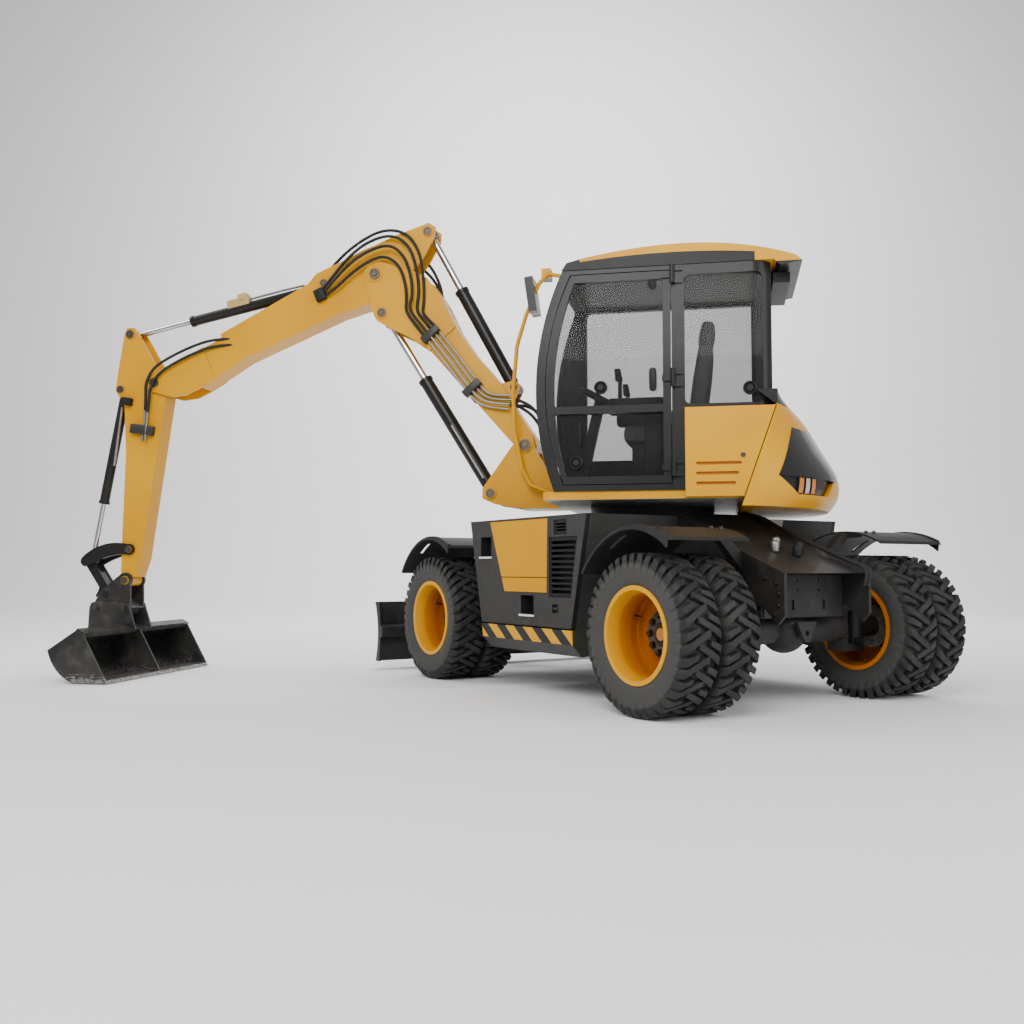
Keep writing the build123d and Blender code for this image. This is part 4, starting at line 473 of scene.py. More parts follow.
def pipe_steel():
    return steel("pipe_steel", (0.34, 0.33, 0.31), 0.34)


def pin_steel():
    return steel("pin_steel", (0.16, 0.13, 0.10), 0.40)


def nut_steel():
    return steel("nut_steel", (0.085, 0.068, 0.050), 0.50)


def valve_tan():
    paint, tone = painted("valve_tan", (0.56, 0.40, 0.16), (0.48, 0.33, 0.12), 0.42, 0.1, 0.12)
    return paint.tint(tone)


def bucket_steel():
    """Black paint on the bucket and hitch, worn to bright steel towards the cutting edge."""
    tints = settings("colours")
    paint, tone = painted("bucket_steel", dimmed(tints.black, 1.4), dimmed(tints.black, 3.2), 0.34, 0.1, 0.16)
    up = paint.link_axes("tool")[2]
    worn = (paint.noise(34.0, 5.0, (1.0, 1.0, 3.0)) + (up * -1.0 - 0.70) * 4.0).rise(0.62, 0.86)
    paint.metal(worn)
    return paint.tint(paint.mix(worn, tone, (0.30, 0.29, 0.28)))


def black_plastic():
    plastic = Finish("black_plastic", 0.45, shine=PAINT_SHINE)
    grain = plastic.noise(260.0, 2.0)
    plastic.rough(0.40 + grain * 0.16)
    plastic.relief(grain, 0.0004, 0.5)
    return plastic.tint(plastic.mix(plastic.noise(5.0), (0.010, 0.010, 0.0105), (0.017, 0.017, 0.0175)))


def grille_plastic():
    """Dull black moulding of the side grilles."""
    plastic = Finish("grille_plastic", 0.60, shine=PAINT_SHINE)
    plastic.rough(0.55 + plastic.noise(180.0, 2.0) * 0.14)
    return plastic.tint(plastic.mix(plastic.noise(5.0), (0.010, 0.010, 0.010), (0.015, 0.015, 0.0155)))


def lamp_plastic():
    """Glossy black moulding of the tail lamps, with two amber lights and a white one in the recess."""
    tints = settings("colours")
    plastic = Finish("lamp_plastic", 0.10, 0.0, 0.5, 0.03, PAINT_SHINE)
    forward, left, up = plastic.link_axes("upper")
    lean = radians(150.0)
    across = forward * -sin(lean) + abs(left) * cos(lean)
    tone = plastic.mix(plastic.noise(4.0), (0.010, 0.010, 0.011), (0.020, 0.020, 0.022))
    rows = up.between(1.386, 1.489)
    for centre, light in ((-0.255, tints.amber), (-0.180, (0.45, 0.44, 0.42)), (-0.105, tints.amber)):
        tone = plastic.mix(rows * (abs(across - centre) < 0.0245), tone, light)
    plastic.relief((across * 240.0).fraction() * rows, 0.0006, 0.6)
    return plastic.tint(tone)


def lens_glass():
    lens = Finish("lens_glass", 0.08, 0.0, 1.0, 0.03)
    ribs = (lens.link_axes("upper")[1] * 120.0).fraction()
    lens.relief(ribs, 0.0008, 0.6)
    return lens.tint(lens.mix(ribs * 0.4, (0.78, 0.79, 0.80), (0.50, 0.51, 0.53)))


def cab_glass():
    """Tinted window glass, with a slow drift of its tint."""
    glass = Finish("cab_glass", 0.03, shine=0.12)
    glass.shader.inputs["Alpha"].default_value = 0.29
    glass.material.surface_render_method = "BLENDED"
    return glass.tint(glass.mix(glass.noise(0.9, 1.0).rise(0.35, 0.65), settings("colours").glass,
                                dimmed(settings("colours").glass, 1.5)))


def seat_fabric():
    """Woven seat cover: crossed threads and a soft pile."""
    cloth = Finish("seat_fabric", 0.92)
    forward, left, up = cloth.link_axes("upper")
    weave = abs((left * 320.0).fraction() - 0.5) + abs((up * 320.0 + forward * 320.0).fraction() - 0.5)
    cloth.relief(weave + cloth.noise(300.0, 2.0) * 0.5, 0.0012, 0.6)
    base = settings("colours").fabric
    return cloth.tint(cloth.mix(weave * cloth.noise(12.0, 3.0), base, dimmed(base, 1.9)))


def rod_finish(label, eye):
    """Plated rod of a cylinder, with its eye at the tip in black paint."""
    node = frame["nodes"][f"{label}_rod"]
    axis = Vector(JOINTS[f"{label}_rod_slide"]["axis"])
    base = Vector(JOINTS[f"{label}_barrel_turn"]["pos_m"])
    reach = max((vertex.co - base).dot(axis) for vertex in node.data.vertices)
    rod = Finish(f"{label}_rod_plating", 0.12, 1.0)
    x, y, z = rod.axes(tuple(base))
    along = x * axis.x + y * axis.y + z * axis.z
    tip = along > reach - 2.0 * eye
    rod.metal(1.0 - tip)
    rod.rough(0.10 + tip * 0.25 + rod.noise(60.0, 3.0) * 0.08)
    chrome = rod.mix(rod.noise(9.0, 3.0).rise(0.3, 0.7), (0.74, 0.74, 0.76), (0.60, 0.60, 0.62))
    return rod.tint(rod.mix(tip, chrome, (0.04, 0.04, 0.04)))


def mirror_finish():
    """Yellow bar, with the black housings that it carries."""
    tints = settings("colours")
    paint, tone = painted("mirror_finish", tints.yellow, tints.shade, 0.30, 0.06)
    _, left, up = paint.link_axes("upper")
    housing = (abs(left - 0.243) > 0.0175) * (up > 2.80)
    return paint.tint(paint.mix(housing, tone, (0.016, 0.016, 0.017)))


def floor_finish():
    floor = Finish("studio_floor", 0.85)
    grain = floor.noise(3.0, 3.0)
    return floor.tint(floor.mix(grain, (0.93, 0.93, 0.93), (0.96, 0.96, 0.96)))


FINISHES = (
    yellow_paint, frame_paint, quarter_paint, roof_paint, cowl_paint, grey_paint, fender_paint, chassis_paint,
    black_paint, door_paint, pod_paint, grille_plastic, rim_paint, tyre_rubber, hose_rubber, pipe_steel,
    pin_steel, nut_steel, valve_tan, bucket_steel,
    black_plastic, lamp_plastic, lens_glass, cab_glass, seat_fabric, mirror_finish, floor_finish,
)
MAKERS = {maker.__name__: maker for maker in FINISHES}

# Finish of each CAD node that stays in view
NODE_FINISH = {
    "yellow_paint": ("right_body", "lower_boom", "upper_boom", "dipper", "pod_panel_left", "pod_panel_right"),
    "roof_paint": ("cab_roof",),
    "cowl_paint": ("rear_cowl",),
    "frame_paint": ("upper_frame",),
    "quarter_paint": ("quarter_panel",),
    "mirror_finish": ("mirror_bar",),
    "grey_paint": ("slew_ring", "engine_block"),
    "fender_paint": ("fenders_front", "fenders_rear"),
    "chassis_paint": ("chassis_frame", "axle_front", "axle_rear", "blade", "knuckle_front_left",
                      "knuckle_front_right", "knuckle_rear_left", "knuckle_rear_right"),
    "black_paint": ("cab_frame", "cab_door", "lever", "link", "lift_barrel", "fold_barrel",
                    "crowd_barrel", "tool_barrel", "blade_barrel"),
    "door_paint": ("pod_door_left", "pod_door_right"),
    "pod_paint": ("pod_left", "pod_right"),
    "grille_plastic": ("pod_grille_left", "pod_grille_right"),
    "black_plastic": ("controls", "rear_lamp_bar"),
    "rim_paint": ("rims_front_left", "rims_front_right", "rims_rear_left", "rims_rear_right"),
    "tyre_rubber": ("tyres_front_left", "tyres_front_right", "tyres_rear_left", "tyres_rear_right"),
    "bucket_steel": ("bucket", "quick_hitch"),
    "lamp_plastic": ("tail_lamps",),
    "cab_glass": ("cab_glass", "cab_door_glass"),
    "seat_fabric": ("seat",),
}
ROD_EYES = {"lift": 0.062, "fold": 0.056, "crowd": 0.050, "tool": 0.042, "blade": 0.040}


def finish(name):
    """The material of that name, made when it is first asked for."""
    return bpy.data.materials.get(f"{name}_look") or MAKERS[name]().material


# Modelling with Blender's own tools


def clear():
    """Leave edit mode and select nothing."""
    if bpy.context.object and bpy.context.mode != "OBJECT":
        bpy.ops.object.mode_set(mode="OBJECT")
    bpy.ops.object.select_all(action="DESELECT")


def primitive(kind, name, **values):
    """A first form, its place put into its mesh."""
    clear()
    getattr(bpy.ops.mesh, f"primitive_{kind}_add")(**values)
    piece = bpy.context.object
    piece.name = name
    piece.data.name = name
    return settle(piece)


def hold(*pieces):
    """Select these pieces alone, the first one active."""
    clear()
    for piece in pieces:
        piece.select_set(True)
    bpy.context.view_layer.objects.active = pieces[0]
    return pieces[0]


def edit(piece):
    """Go into edit mode on one piece, with nothing of it selected."""
    hold(piece)
    bpy.ops.object.mode_set(mode="EDIT")
    bpy.ops.mesh.select_mode(type="FACE")
    bpy.ops.mesh.select_all(action="DESELECT")


def pick_faces(piece, test):
    """Select the faces that pass a test, from edit mode."""
    bpy.ops.object.mode_set(mode="OBJECT")
    for face in piece.data.polygons:
        face.select = bool(test(face))
    bpy.ops.object.mode_set(mode="EDIT")


def leave():
    bpy.ops.object.mode_set(mode="OBJECT")


def modify(piece, kind, **values):
    """Add a modifier and apply it."""
    hold(piece)
    modifier = piece.modifiers.new(kind.title(), kind)
    for name, value in values.items():
        setattr(modifier, name, value)
    bpy.ops.object.modifier_apply(modifier=modifier.name)


def soften(piece, angle=35.0):
    hold(piece)
    bpy.ops.object.shade_smooth_by_angle(angle=radians(angle))


def fix_normals(piece):
    """Merge doubled points and turn every face outwards."""
    edit(piece)
    bpy.ops.mesh.select_all(action="SELECT")
    bpy.ops.mesh.remove_doubles(threshold=0.00002)
    bpy.ops.mesh.normals_make_consistent(inside=False)
    leave()


def copy_to(template, places, name):
    """Copies of a template with their own meshes at a list of places, joined into one piece."""
    copies = []
    for place in places:
        twin = template.copy()
        twin.data = template.data.copy()
        bpy.context.scene.collection.objects.link(twin)
        twin.data.transform(place)
        copies.append(twin)
    whole = hold(*copies)
    if len(copies) > 1:
        bpy.ops.object.join()
    whole.name = name
    whole.data.name = name
    return whole


def discard(*pieces):
    for piece in pieces:
        bpy.data.objects.remove(piece)


def link_place(body):
    """Where the axes of the upper part or a link of the arm stand in the row frame."""
    joint, tilt = LINKS[body]
    origin = Vector(JOINTS[joint]["pos_m"]) if joint else Vector()
    lean = Matrix.Rotation(radians(-tilt), 4, "Y")
    return Matrix.Translation(origin) @ Matrix.Rotation(radians(SLEW), 4, "Z") @ lean


def settle(piece, place=Matrix()):
    """Put a piece's whole place into its mesh, so that its object sits at the origin."""
    piece.data.transform(place @ piece.matrix_world)
    piece.matrix_world = Matrix()
    return piece


def dress(piece, body, name, place=Matrix()):
    """Place a piece, give it its finish and let it ride on its body."""
    settle(piece, place)
    piece.data.materials.clear()
    piece.data.materials.append(finish(name))
    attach(piece, body)
    return piece


def chamfered_box(name, size, at, chamfer, turn=Matrix()):
    """A block with its edges broken."""
    piece = primitive("cube", name, size=1.0)
    piece.data.transform(Matrix.Translation(Vector(at)) @ turn @ Matrix.Diagonal((*size, 1.0)))
    modify(piece, "BEVEL", width=chamfer, segments=2)
    soften(piece)
    return piece


def outwards(sign=1):
    """Turns what stands upright to point to the left, or to the right where the sign is below nothing."""
    return Matrix.Rotation(radians(-90.0 * sign), 4, "X")


def facing_back(at):
    """Stands a plate that was drawn on the ground upright across the machine, at a place."""
    upright = Matrix.Rotation(radians(90.0), 4, "X")
    return Matrix.Translation(at) @ Matrix.Rotation(radians(90.0), 4, "Z") @ upright


def step_top(piece, steps):
    """Inset the top face again and again, each step as (margin, rise)."""
    edit(piece)
    pick_faces(piece, lambda face: face.normal.z > 0.9)
    for margin, rise in steps:
        bpy.ops.mesh.inset(thickness=margin, depth=rise)
    leave()


def pin_head(ring, thick):
    """The end of a pin: a flat ring, a sunk face and a raised bolt in its middle. It points up."""
    piece = primitive("cylinder", "pin_head", vertices=32, radius=ring, depth=thick,
                      location=(0, 0, thick / 2))
    step_top(piece, ((ring * 0.30, 0.0), (ring * 0.06, -thick * 0.55), (ring * 0.22, 0.0),
                     (ring * 0.02, thick * 0.75)))
    soften(piece)
    return piece


def bolt_head(radius, thick):
    """A hexagon head on its washer. It points up."""
    washer = primitive("cylinder", "washer", vertices=20, radius=radius * 1.35, depth=thick * 0.3,
                       location=(0, 0, thick * 0.15))
    head = primitive("cylinder", "hexagon", vertices=6, radius=radius, depth=thick * 0.8,
                     location=(0, 0, thick * 0.7))
    step_top(head, ((radius * 0.16, thick * 0.08),))
    hold(washer, head)
    bpy.ops.object.join()
    soften(washer)
    return washer


def outlined(name, points, depth, holes=(), chamfer=0.0):
    """A plate from its outline on the ground plane, with holes as (x, y, half length, half width)."""
    data = bpy.data.curves.new(name, "CURVE")
    data.dimensions = "2D"
    data.fill_mode = "BOTH"
    data.extrude = depth / 2
    data.bevel_depth = chamfer
    data.resolution_u = 12
    outline = data.splines.new("POLY")
    outline.points.add(len(points) - 1)
    for point, (x, y) in zip(outline.points, points):
        point.co = (x, y, 0.0, 1.0)
    outline.use_cyclic_u = True
    for x, y, long_half, wide_half in holes:
        loop = data.splines.new("POLY")
        loop.points.add(23)
        for index, point in enumerate(loop.points):
            angle = 2.0 * pi * index / 24
            stretch = (long_half - wide_half) * (1 if cos(angle) > 0 else -1)
            point.co = (x + wide_half * sin(angle), y + wide_half * cos(angle) + stretch, 0.0, 1.0)
        loop.use_cyclic_u = True
    piece = bpy.data.objects.new(name, data)
    bpy.context.scene.collection.objects.link(piece)
    hold(piece)
    bpy.ops.object.convert(target="MESH")
    piece = bpy.context.object
    soften(piece)
    return piece


def tube(name, points, radius, sides=10):
    """A hose or pipe as a mesh, round a smooth spline through the space between its points."""
    data = bpy.data.curves.new(name, "CURVE")
    data.dimensions = "3D"
    data.bevel_depth = radius
    data.bevel_resolution = sides // 4
    data.resolution_u = 8
    data.use_fill_caps = True
    line = data.splines.new("NURBS")
    line.points.add(len(points) - 1)
    for point, place in zip(line.points, points):
        point.co = (*place, 1.0)
    line.order_u = 3
    line.use_endpoint_u = True
    piece = bpy.data.objects.new(name, data)
    bpy.context.scene.collection.objects.link(piece)
    hold(piece)
    bpy.ops.object.convert(target="MESH")
    piece = bpy.context.object
    soften(piece, 60.0)
    return piece


# Tyres


def tyre_carcass(sizes):
    """One tyre without its lugs, spun from its section. Its axis is Y."""
    half, tread, bead = sizes.half, sizes.tread, sizes.bead
    section = (
        # across, away from the axle
        (-half + 0.032, bead), (-half + 0.020, bead + 0.012), (-half + 0.008, bead + 0.045),
        (-half, bead + 0.085), (-half + 0.002, tread - 0.050), (-half + 0.010, tread - 0.018),
        (-half + 0.026, tread - 0.003), (-half * 0.45, tread + 0.003), (half * 0.45, tread + 0.003),
        (half - 0.026, tread - 0.003), (half - 0.010, tread - 0.018), (half - 0.002, tread - 0.050),
        (half, bead + 0.085), (half - 0.008, bead + 0.045), (half - 0.020, bead + 0.012),
        (half - 0.032, bead),
    )
    piece = primitive("circle", "carcass", vertices=len(section), radius=0.1)
    for vertex, (y, r) in zip(piece.data.vertices, section):
        vertex.co = (0.0, y, r)
    edit(piece)
    bpy.ops.mesh.select_all(action="SELECT")
    bpy.ops.mesh.spin(steps=72, angle=2.0 * pi, center=(0.0, 0.0, 0.0), axis=(0.0, 1.0, 0.0))
    leave()
    fix_normals(piece)
    return piece


def tyre_lug(sizes, start, end, width, sweep):
    """One lug as a bar that is bent on to the tread: from across start to across end, swept forward."""
    steps = 7
    piece = primitive("grid", "lug", x_subdivisions=1, y_subdivisions=steps, size=1.0)
    edit(piece)
    bpy.ops.mesh.select_all(action="SELECT")
    bpy.ops.mesh.extrude_region_move(TRANSFORM_OT_translate={"value": (0.0, 0.0, 1.0)})
    leave()
    height = sizes.radius - sizes.tread
    for vertex in piece.data.vertices:
        x, y, z = vertex.co
        share = y + 0.5
        across = start + (end - start) * share
        taper = 0.92 if z > 0.5 else 1.10
        ahead = sweep * share ** 0.75 + x * width * taper * (1.0 - 0.25 * share)
        shoulder = max(0.0, abs(across) - (sizes.half - 0.030)) / 0.030
        top = sizes.radius - 0.030 * shoulder ** 2
        foot = sizes.tread - 0.012 - 0.062 * shoulder
        away = top if z > 0.5 else foot
        if share < 0.01 and z > 0.5:
            away = top - height * 0.35
        angle = ahead / sizes.radius
        vertex.co = (away * sin(angle), across, away * cos(angle))
    fix_normals(piece)
    modify(piece, "BEVEL", width=0.003, segments=1, limit_method="ANGLE", angle_limit=radians(35.0))
    return piece


def tyre_pair(sizes):
    """Two lugged tyres side by side about the wheel's middle."""
    carcass = tyre_carcass(sizes)
    long_lug = tyre_lug(sizes, -sizes.half - 0.001, sizes.half * 0.30, sizes.lug_width, 0.115)
    short_lug = tyre_lug(sizes, -sizes.half - 0.001, -sizes.half * 0.30, sizes.lug_width * 0.9, 0.050)
    mirrored = Matrix.Scale(-1.0, 4, (0.0, 1.0, 0.0))
    step = 2.0 * pi / sizes.lugs
    whole = []
    for template, phase, flip in ((long_lug, 0.0, False), (short_lug, 0.52, False),
                                  (long_lug, 0.5, True), (short_lug, 1.02, True)):
        places = [Matrix.Rotation(step * (index + phase), 4, "Y") @ (mirrored if flip else Matrix())
                  for index in range(sizes.lugs)]
        ring = copy_to(template, places, "lug_ring")
        if flip:
            fix_normals(ring)
        whole.append(ring)
    hold(carcass, *whole)
    bpy.ops.object.join()
    sides = [Matrix.Translation((0.0, side * sizes.spread, 0.0)) for side in (-1, 1)]
    pair = copy_to(carcass, sides, "tyre_pair")
    discard(carcass, long_lug, short_lug)
    soften(pair, 40.0)
    return pair


def wheels():
    """Each wheel as (end, hand, place of its middle with +Y outwards)."""
    for end in ("front", "rear"):
        for hand, sign in (("left", 1), ("right", -1)):
            middle = Vector(JOINTS[f"wheel_{end}_{hand}_spin"]["pos_m"])
            turn = Matrix() if sign > 0 else Matrix.Rotation(pi, 4, "Z")
            yield end, hand, Matrix.Translation(middle) @ turn


class EXCAVATOR_OT_finishes(bpy.types.Operator):
    """Give every CAD node its finish"""

    bl_idname = "excavator.finishes"
    bl_label = "Finishes"

    def execute(self, context):
        for name, nodes in NODE_FINISH.items():
            for node in nodes:
                self.coat(node, finish(name))
        for label, eye in ROD_EYES.items():
            self.coat(f"{label}_rod", rod_finish(label, eye).material)
        bare = [name for name, node in frame["nodes"].items() if not node.data.materials or
                node.data.materials[0].name not in bpy.data.materials]
        if bare:
            raise RuntimeError(f"These nodes have no finish: {bare}")
        return {"FINISHED"}

    def coat(self, node, material):
        slots = frame["nodes"][node].data.materials
        slots.clear()
        slots.append(material)


class EXCAVATOR_OT_tyres(bpy.types.Operator):
    """Model the lugged twin tyres and let them stand for the plain ones"""

    bl_idname = "excavator.tyres"
    bl_label = "Tyres"

    def execute(self, context):
        pair = tyre_pair(settings("tyres"))
        for end, hand, place in wheels():
            tyres = copy_to(pair, [place], f"tread_{end}_{hand}")
            dress(tyres, f"wheel_{end}_{hand}", "tyre_rubber")
            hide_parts(f"tyres_{end}_{hand}")
        discard(pair)
        return {"FINISHED"}


class EXCAVATOR_OT_hubs(bpy.types.Operator):
    """Add the wheel nuts, the ring that they stand on and the valve"""

    bl_idname = "excavator.hubs"
    bl_label = "Hubs"

    def execute(self, context):
        sizes = settings("fittings")
        nut = bolt_head(sizes.nut, 0.022)
        face = 0.0503
        seats = []
        for index in range(sizes.nuts):
            angle = 2.0 * pi * index / sizes.nuts
            seats.append(Matrix.Translation((0.118 * cos(angle), face, 0.118 * sin(angle))) @ outwards())
        nuts = copy_to(nut, seats, "nut_ring")
        band = primitive("cylinder", "hub_band", vertices=48, radius=0.074, depth=0.012,
                         location=(0, 0, 0.006))
        step_top(band, ((0.008, 0.006), (0.012, -0.004)))
        soften(band)
        valve = tube("valve", ((0.20, 0.060, 0.10), (0.205, 0.085, 0.102), (0.215, 0.105, 0.108)), 0.006)
        for end, hand, place in wheels():
            body = f"wheel_{end}_{hand}"
            dress(copy_to(nuts, [place], f"nuts_{end}_{hand}"), body, "nut_steel")
            ring = copy_to(band, [place @ Matrix.Translation((0.0, face, 0.0)) @ outwards()],
                           f"hub_band_{end}_{hand}")
            dress(ring, body, "nut_steel")
            dress(copy_to(valve, [place], f"valve_{end}_{hand}"), body, "hose_rubber")
        discard(nut, nuts, band, valve)
        return {"FINISHED"}


class EXCAVATOR_OT_pins(bpy.types.Operator):
    """Close the ends of the arm's pins and the blade's pins with bolted heads"""

    bl_idname = "excavator.pins"
    bl_label = "Pins"

    # body, forward, up, half width over the bosses, share of the ring's full size
    ARM = (
        ("upper", 0.960, 1.840, 0.179, 1.0), ("upper", 1.235, 1.470, 0.177, 0.8),
        ("lower_boom", 1.605, -0.165, 0.139, 0.8), ("lower_boom", 1.885, 0.0, 0.139, 1.0),
        ("upper_boom", -0.524, 0.140, 0.108, 0.8), ("upper_boom", 0.431, 0.136, 0.108, 0.7),
        ("upper_boom", 2.112, 0.0, 0.117, 0.95), ("dipper", -0.390, 0.309, 0.088, 0.8),
        ("dipper", 0.087, 0.321, 0.088, 0.7), ("dipper", 1.416, 0.008, 0.1151, 0.6),
        ("dipper", 1.677, 0.0, 0.1151, 0.7),
    )
    BLADE = (1.580, 0.565)

    def execute(self, context):
        ring = settings("fittings").pin_ring
        by_body = {}
        for body, forward, up, half, share in self.ARM:
            for sign in (1, -1):
                seat = Matrix.Translation((forward, sign * half, up)) @ Matrix.Scale(share, 4)
                by_body.setdefault(body, []).append(seat @ outwards(sign))
        head = pin_head(ring, 0.010)
        for body, seats in by_body.items():
            heads = copy_to(head, seats, f"pin_heads_{body}")
            dress(heads, body, "pin_steel", link_place(body))
        forward, up = self.BLADE
        seats = [Matrix.Translation((forward, sign * CHASSIS_HALF, up)) @ outwards(sign) for sign in (1, -1)]
        dress(copy_to(head, seats, "pin_heads_blade"), "undercarriage", "pin_steel")
        discard(head)
        return {"FINISHED"}


class EXCAVATOR_OT_hoses(bpy.types.Operator):
    """Lay the hoses over the knee, the elbow and the boom's foot"""

    bl_idname = "excavator.hoses"
    bl_label = "Hoses"

    # Points are (forward, left, up) in the pose that the model is built in
    KNEE = (
        # block on the upper boom, arch over the knee, down to the clamp on the lower boom
        ((2.665, 0.118, 3.150), (2.60, 0.132, 3.215), (2.44, 0.138, 3.40), (2.26, 0.142, 3.53),
         (2.05, 0.146, 3.575), (1.905, 0.150, 3.47), (1.845, 0.150, 3.28), (1.822, 0.150, 3.08),
         (1.852, 0.150, 2.945), (1.775, 0.150, 2.850), (1.705, 0.150, 2.765)),
        ((2.655, 0.118, 3.125), (2.59, 0.150, 3.175), (2.42, 0.165, 3.34), (2.26, 0.168, 3.44),
         (2.07, 0.170, 3.49), (1.945, 0.172, 3.39), (1.885, 0.172, 3.22), (1.872, 0.172, 3.06),
         (1.905, 0.172, 2.950), (1.810, 0.172, 2.830), (1.735, 0.172, 2.735)),
        ((2.645, 0.118, 3.105), (2.56, 0.148, 3.130), (2.40, 0.150, 3.270), (2.24, 0.152, 3.37),
         (2.10, 0.155, 3.40), (1.985, 0.158, 3.31), (1.935, 0.158, 3.16), (1.925, 0.158, 3.03),
         (1.935, 0.155, 2.940), (1.850, 0.150, 2.820), (1.765, 0.150, 2.715)),
        ((2.700, 0.02, 3.270), (2.56, 0.04, 3.42), (2.36, 0.06, 3.56), (2.14, 0.09, 3.640),
         (1.93, 0.125, 3.585), (1.815, 0.142, 3.40), (1.785, 0.146, 3.16), (1.785, 0.146, 3.00),
         (1.800, 0.144, 2.920), (1.735, 0.144, 2.850), (1.675, 0.144, 2.790)),
        ((2.720, -0.04, 3.265), (2.58, -0.04, 3.385), (2.38, -0.03, 3.50), (2.17, -0.02, 3.560),
         (1.985, -0.05, 3.520), (1.815, -0.10, 3.40), (1.715, -0.135, 3.200), (1.700, -0.140, 3.00),
         (1.735, -0.142, 2.86), (1.690, -0.142, 2.78)),
        ((2.705, -0.09, 3.235), (2.56, -0.11, 3.335), (2.36, -0.13, 3.44), (2.15, -0.15, 3.480),
         (1.965, -0.16, 3.430), (1.785, -0.165, 3.28), (1.715, -0.165, 3.10), (1.735, -0.165, 2.95),
         (1.720, -0.155, 2.83)),
    )
    ELBOW = (
        ((3.46, 0.086, 2.795), (3.60, 0.112, 2.800), (3.80, 0.132, 2.740), (4.00, 0.138, 2.655),
         (4.15, 0.136, 2.570), (4.22, 0.128, 2.450), (4.225, 0.114, 2.340), (4.235, 0.100, 2.220)),
        ((3.44, 0.086, 2.745), (3.58, 0.118, 2.745), (3.78, 0.138, 2.680), (3.96, 0.142, 2.600),
         (4.10, 0.138, 2.520), (4.175, 0.134, 2.410), (4.185, 0.128, 2.310), (4.20, 0.124, 2.200)),
    )
    FOOT = (
        ((1.070, 0.140, 2.198), (1.030, 0.140, 2.196), (0.980, 0.136, 2.180), (0.900, 0.120, 2.130),
         (0.820, 0.100, 2.010), (0.780, 0.090, 1.860), (0.760, 0.090, 1.680)),
        ((1.090, 0.140, 2.164), (1.050, 0.138, 2.160), (1.000, 0.120, 2.140), (0.915, 0.090, 2.080),
         (0.845, 0.070, 1.970), (0.810, 0.060, 1.840), (0.790, 0.060, 1.680)),
    )

    def execute(self, context):
        radius = settings("hoses").hose
        place = link_place("upper")
        for name, routes, bodies, start, end in (
            ("knee", self.KNEE, ("upper_boom", "lower_boom"), (2.45, 0.14, 3.35), (1.86, 0.14, 3.05)),
            ("elbow", self.with_far(self.ELBOW), ("upper_boom", "dipper"),
             (3.85, 0.13, 2.72), (4.22, 0.13, 2.36)),
            ("foot", self.with_far(self.FOOT), ("lower_boom", "upper"),
             (1.02, 0.13, 2.18), (0.78, 0.09, 1.85)),
        ):
            for number, route in enumerate(routes, 1):
                hose = tube(f"{name}_hose_{number}", route, radius)
                settle(hose, place)
                hose.data.materials.append(finish("hose_rubber"))
                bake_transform(hose)
        return {"FINISHED"}

    def with_far(self, routes):
        """The near routes, and the first of them once more on the far side."""
        return (*routes, tuple((forward, -left, up) for forward, left, up in routes[0]))


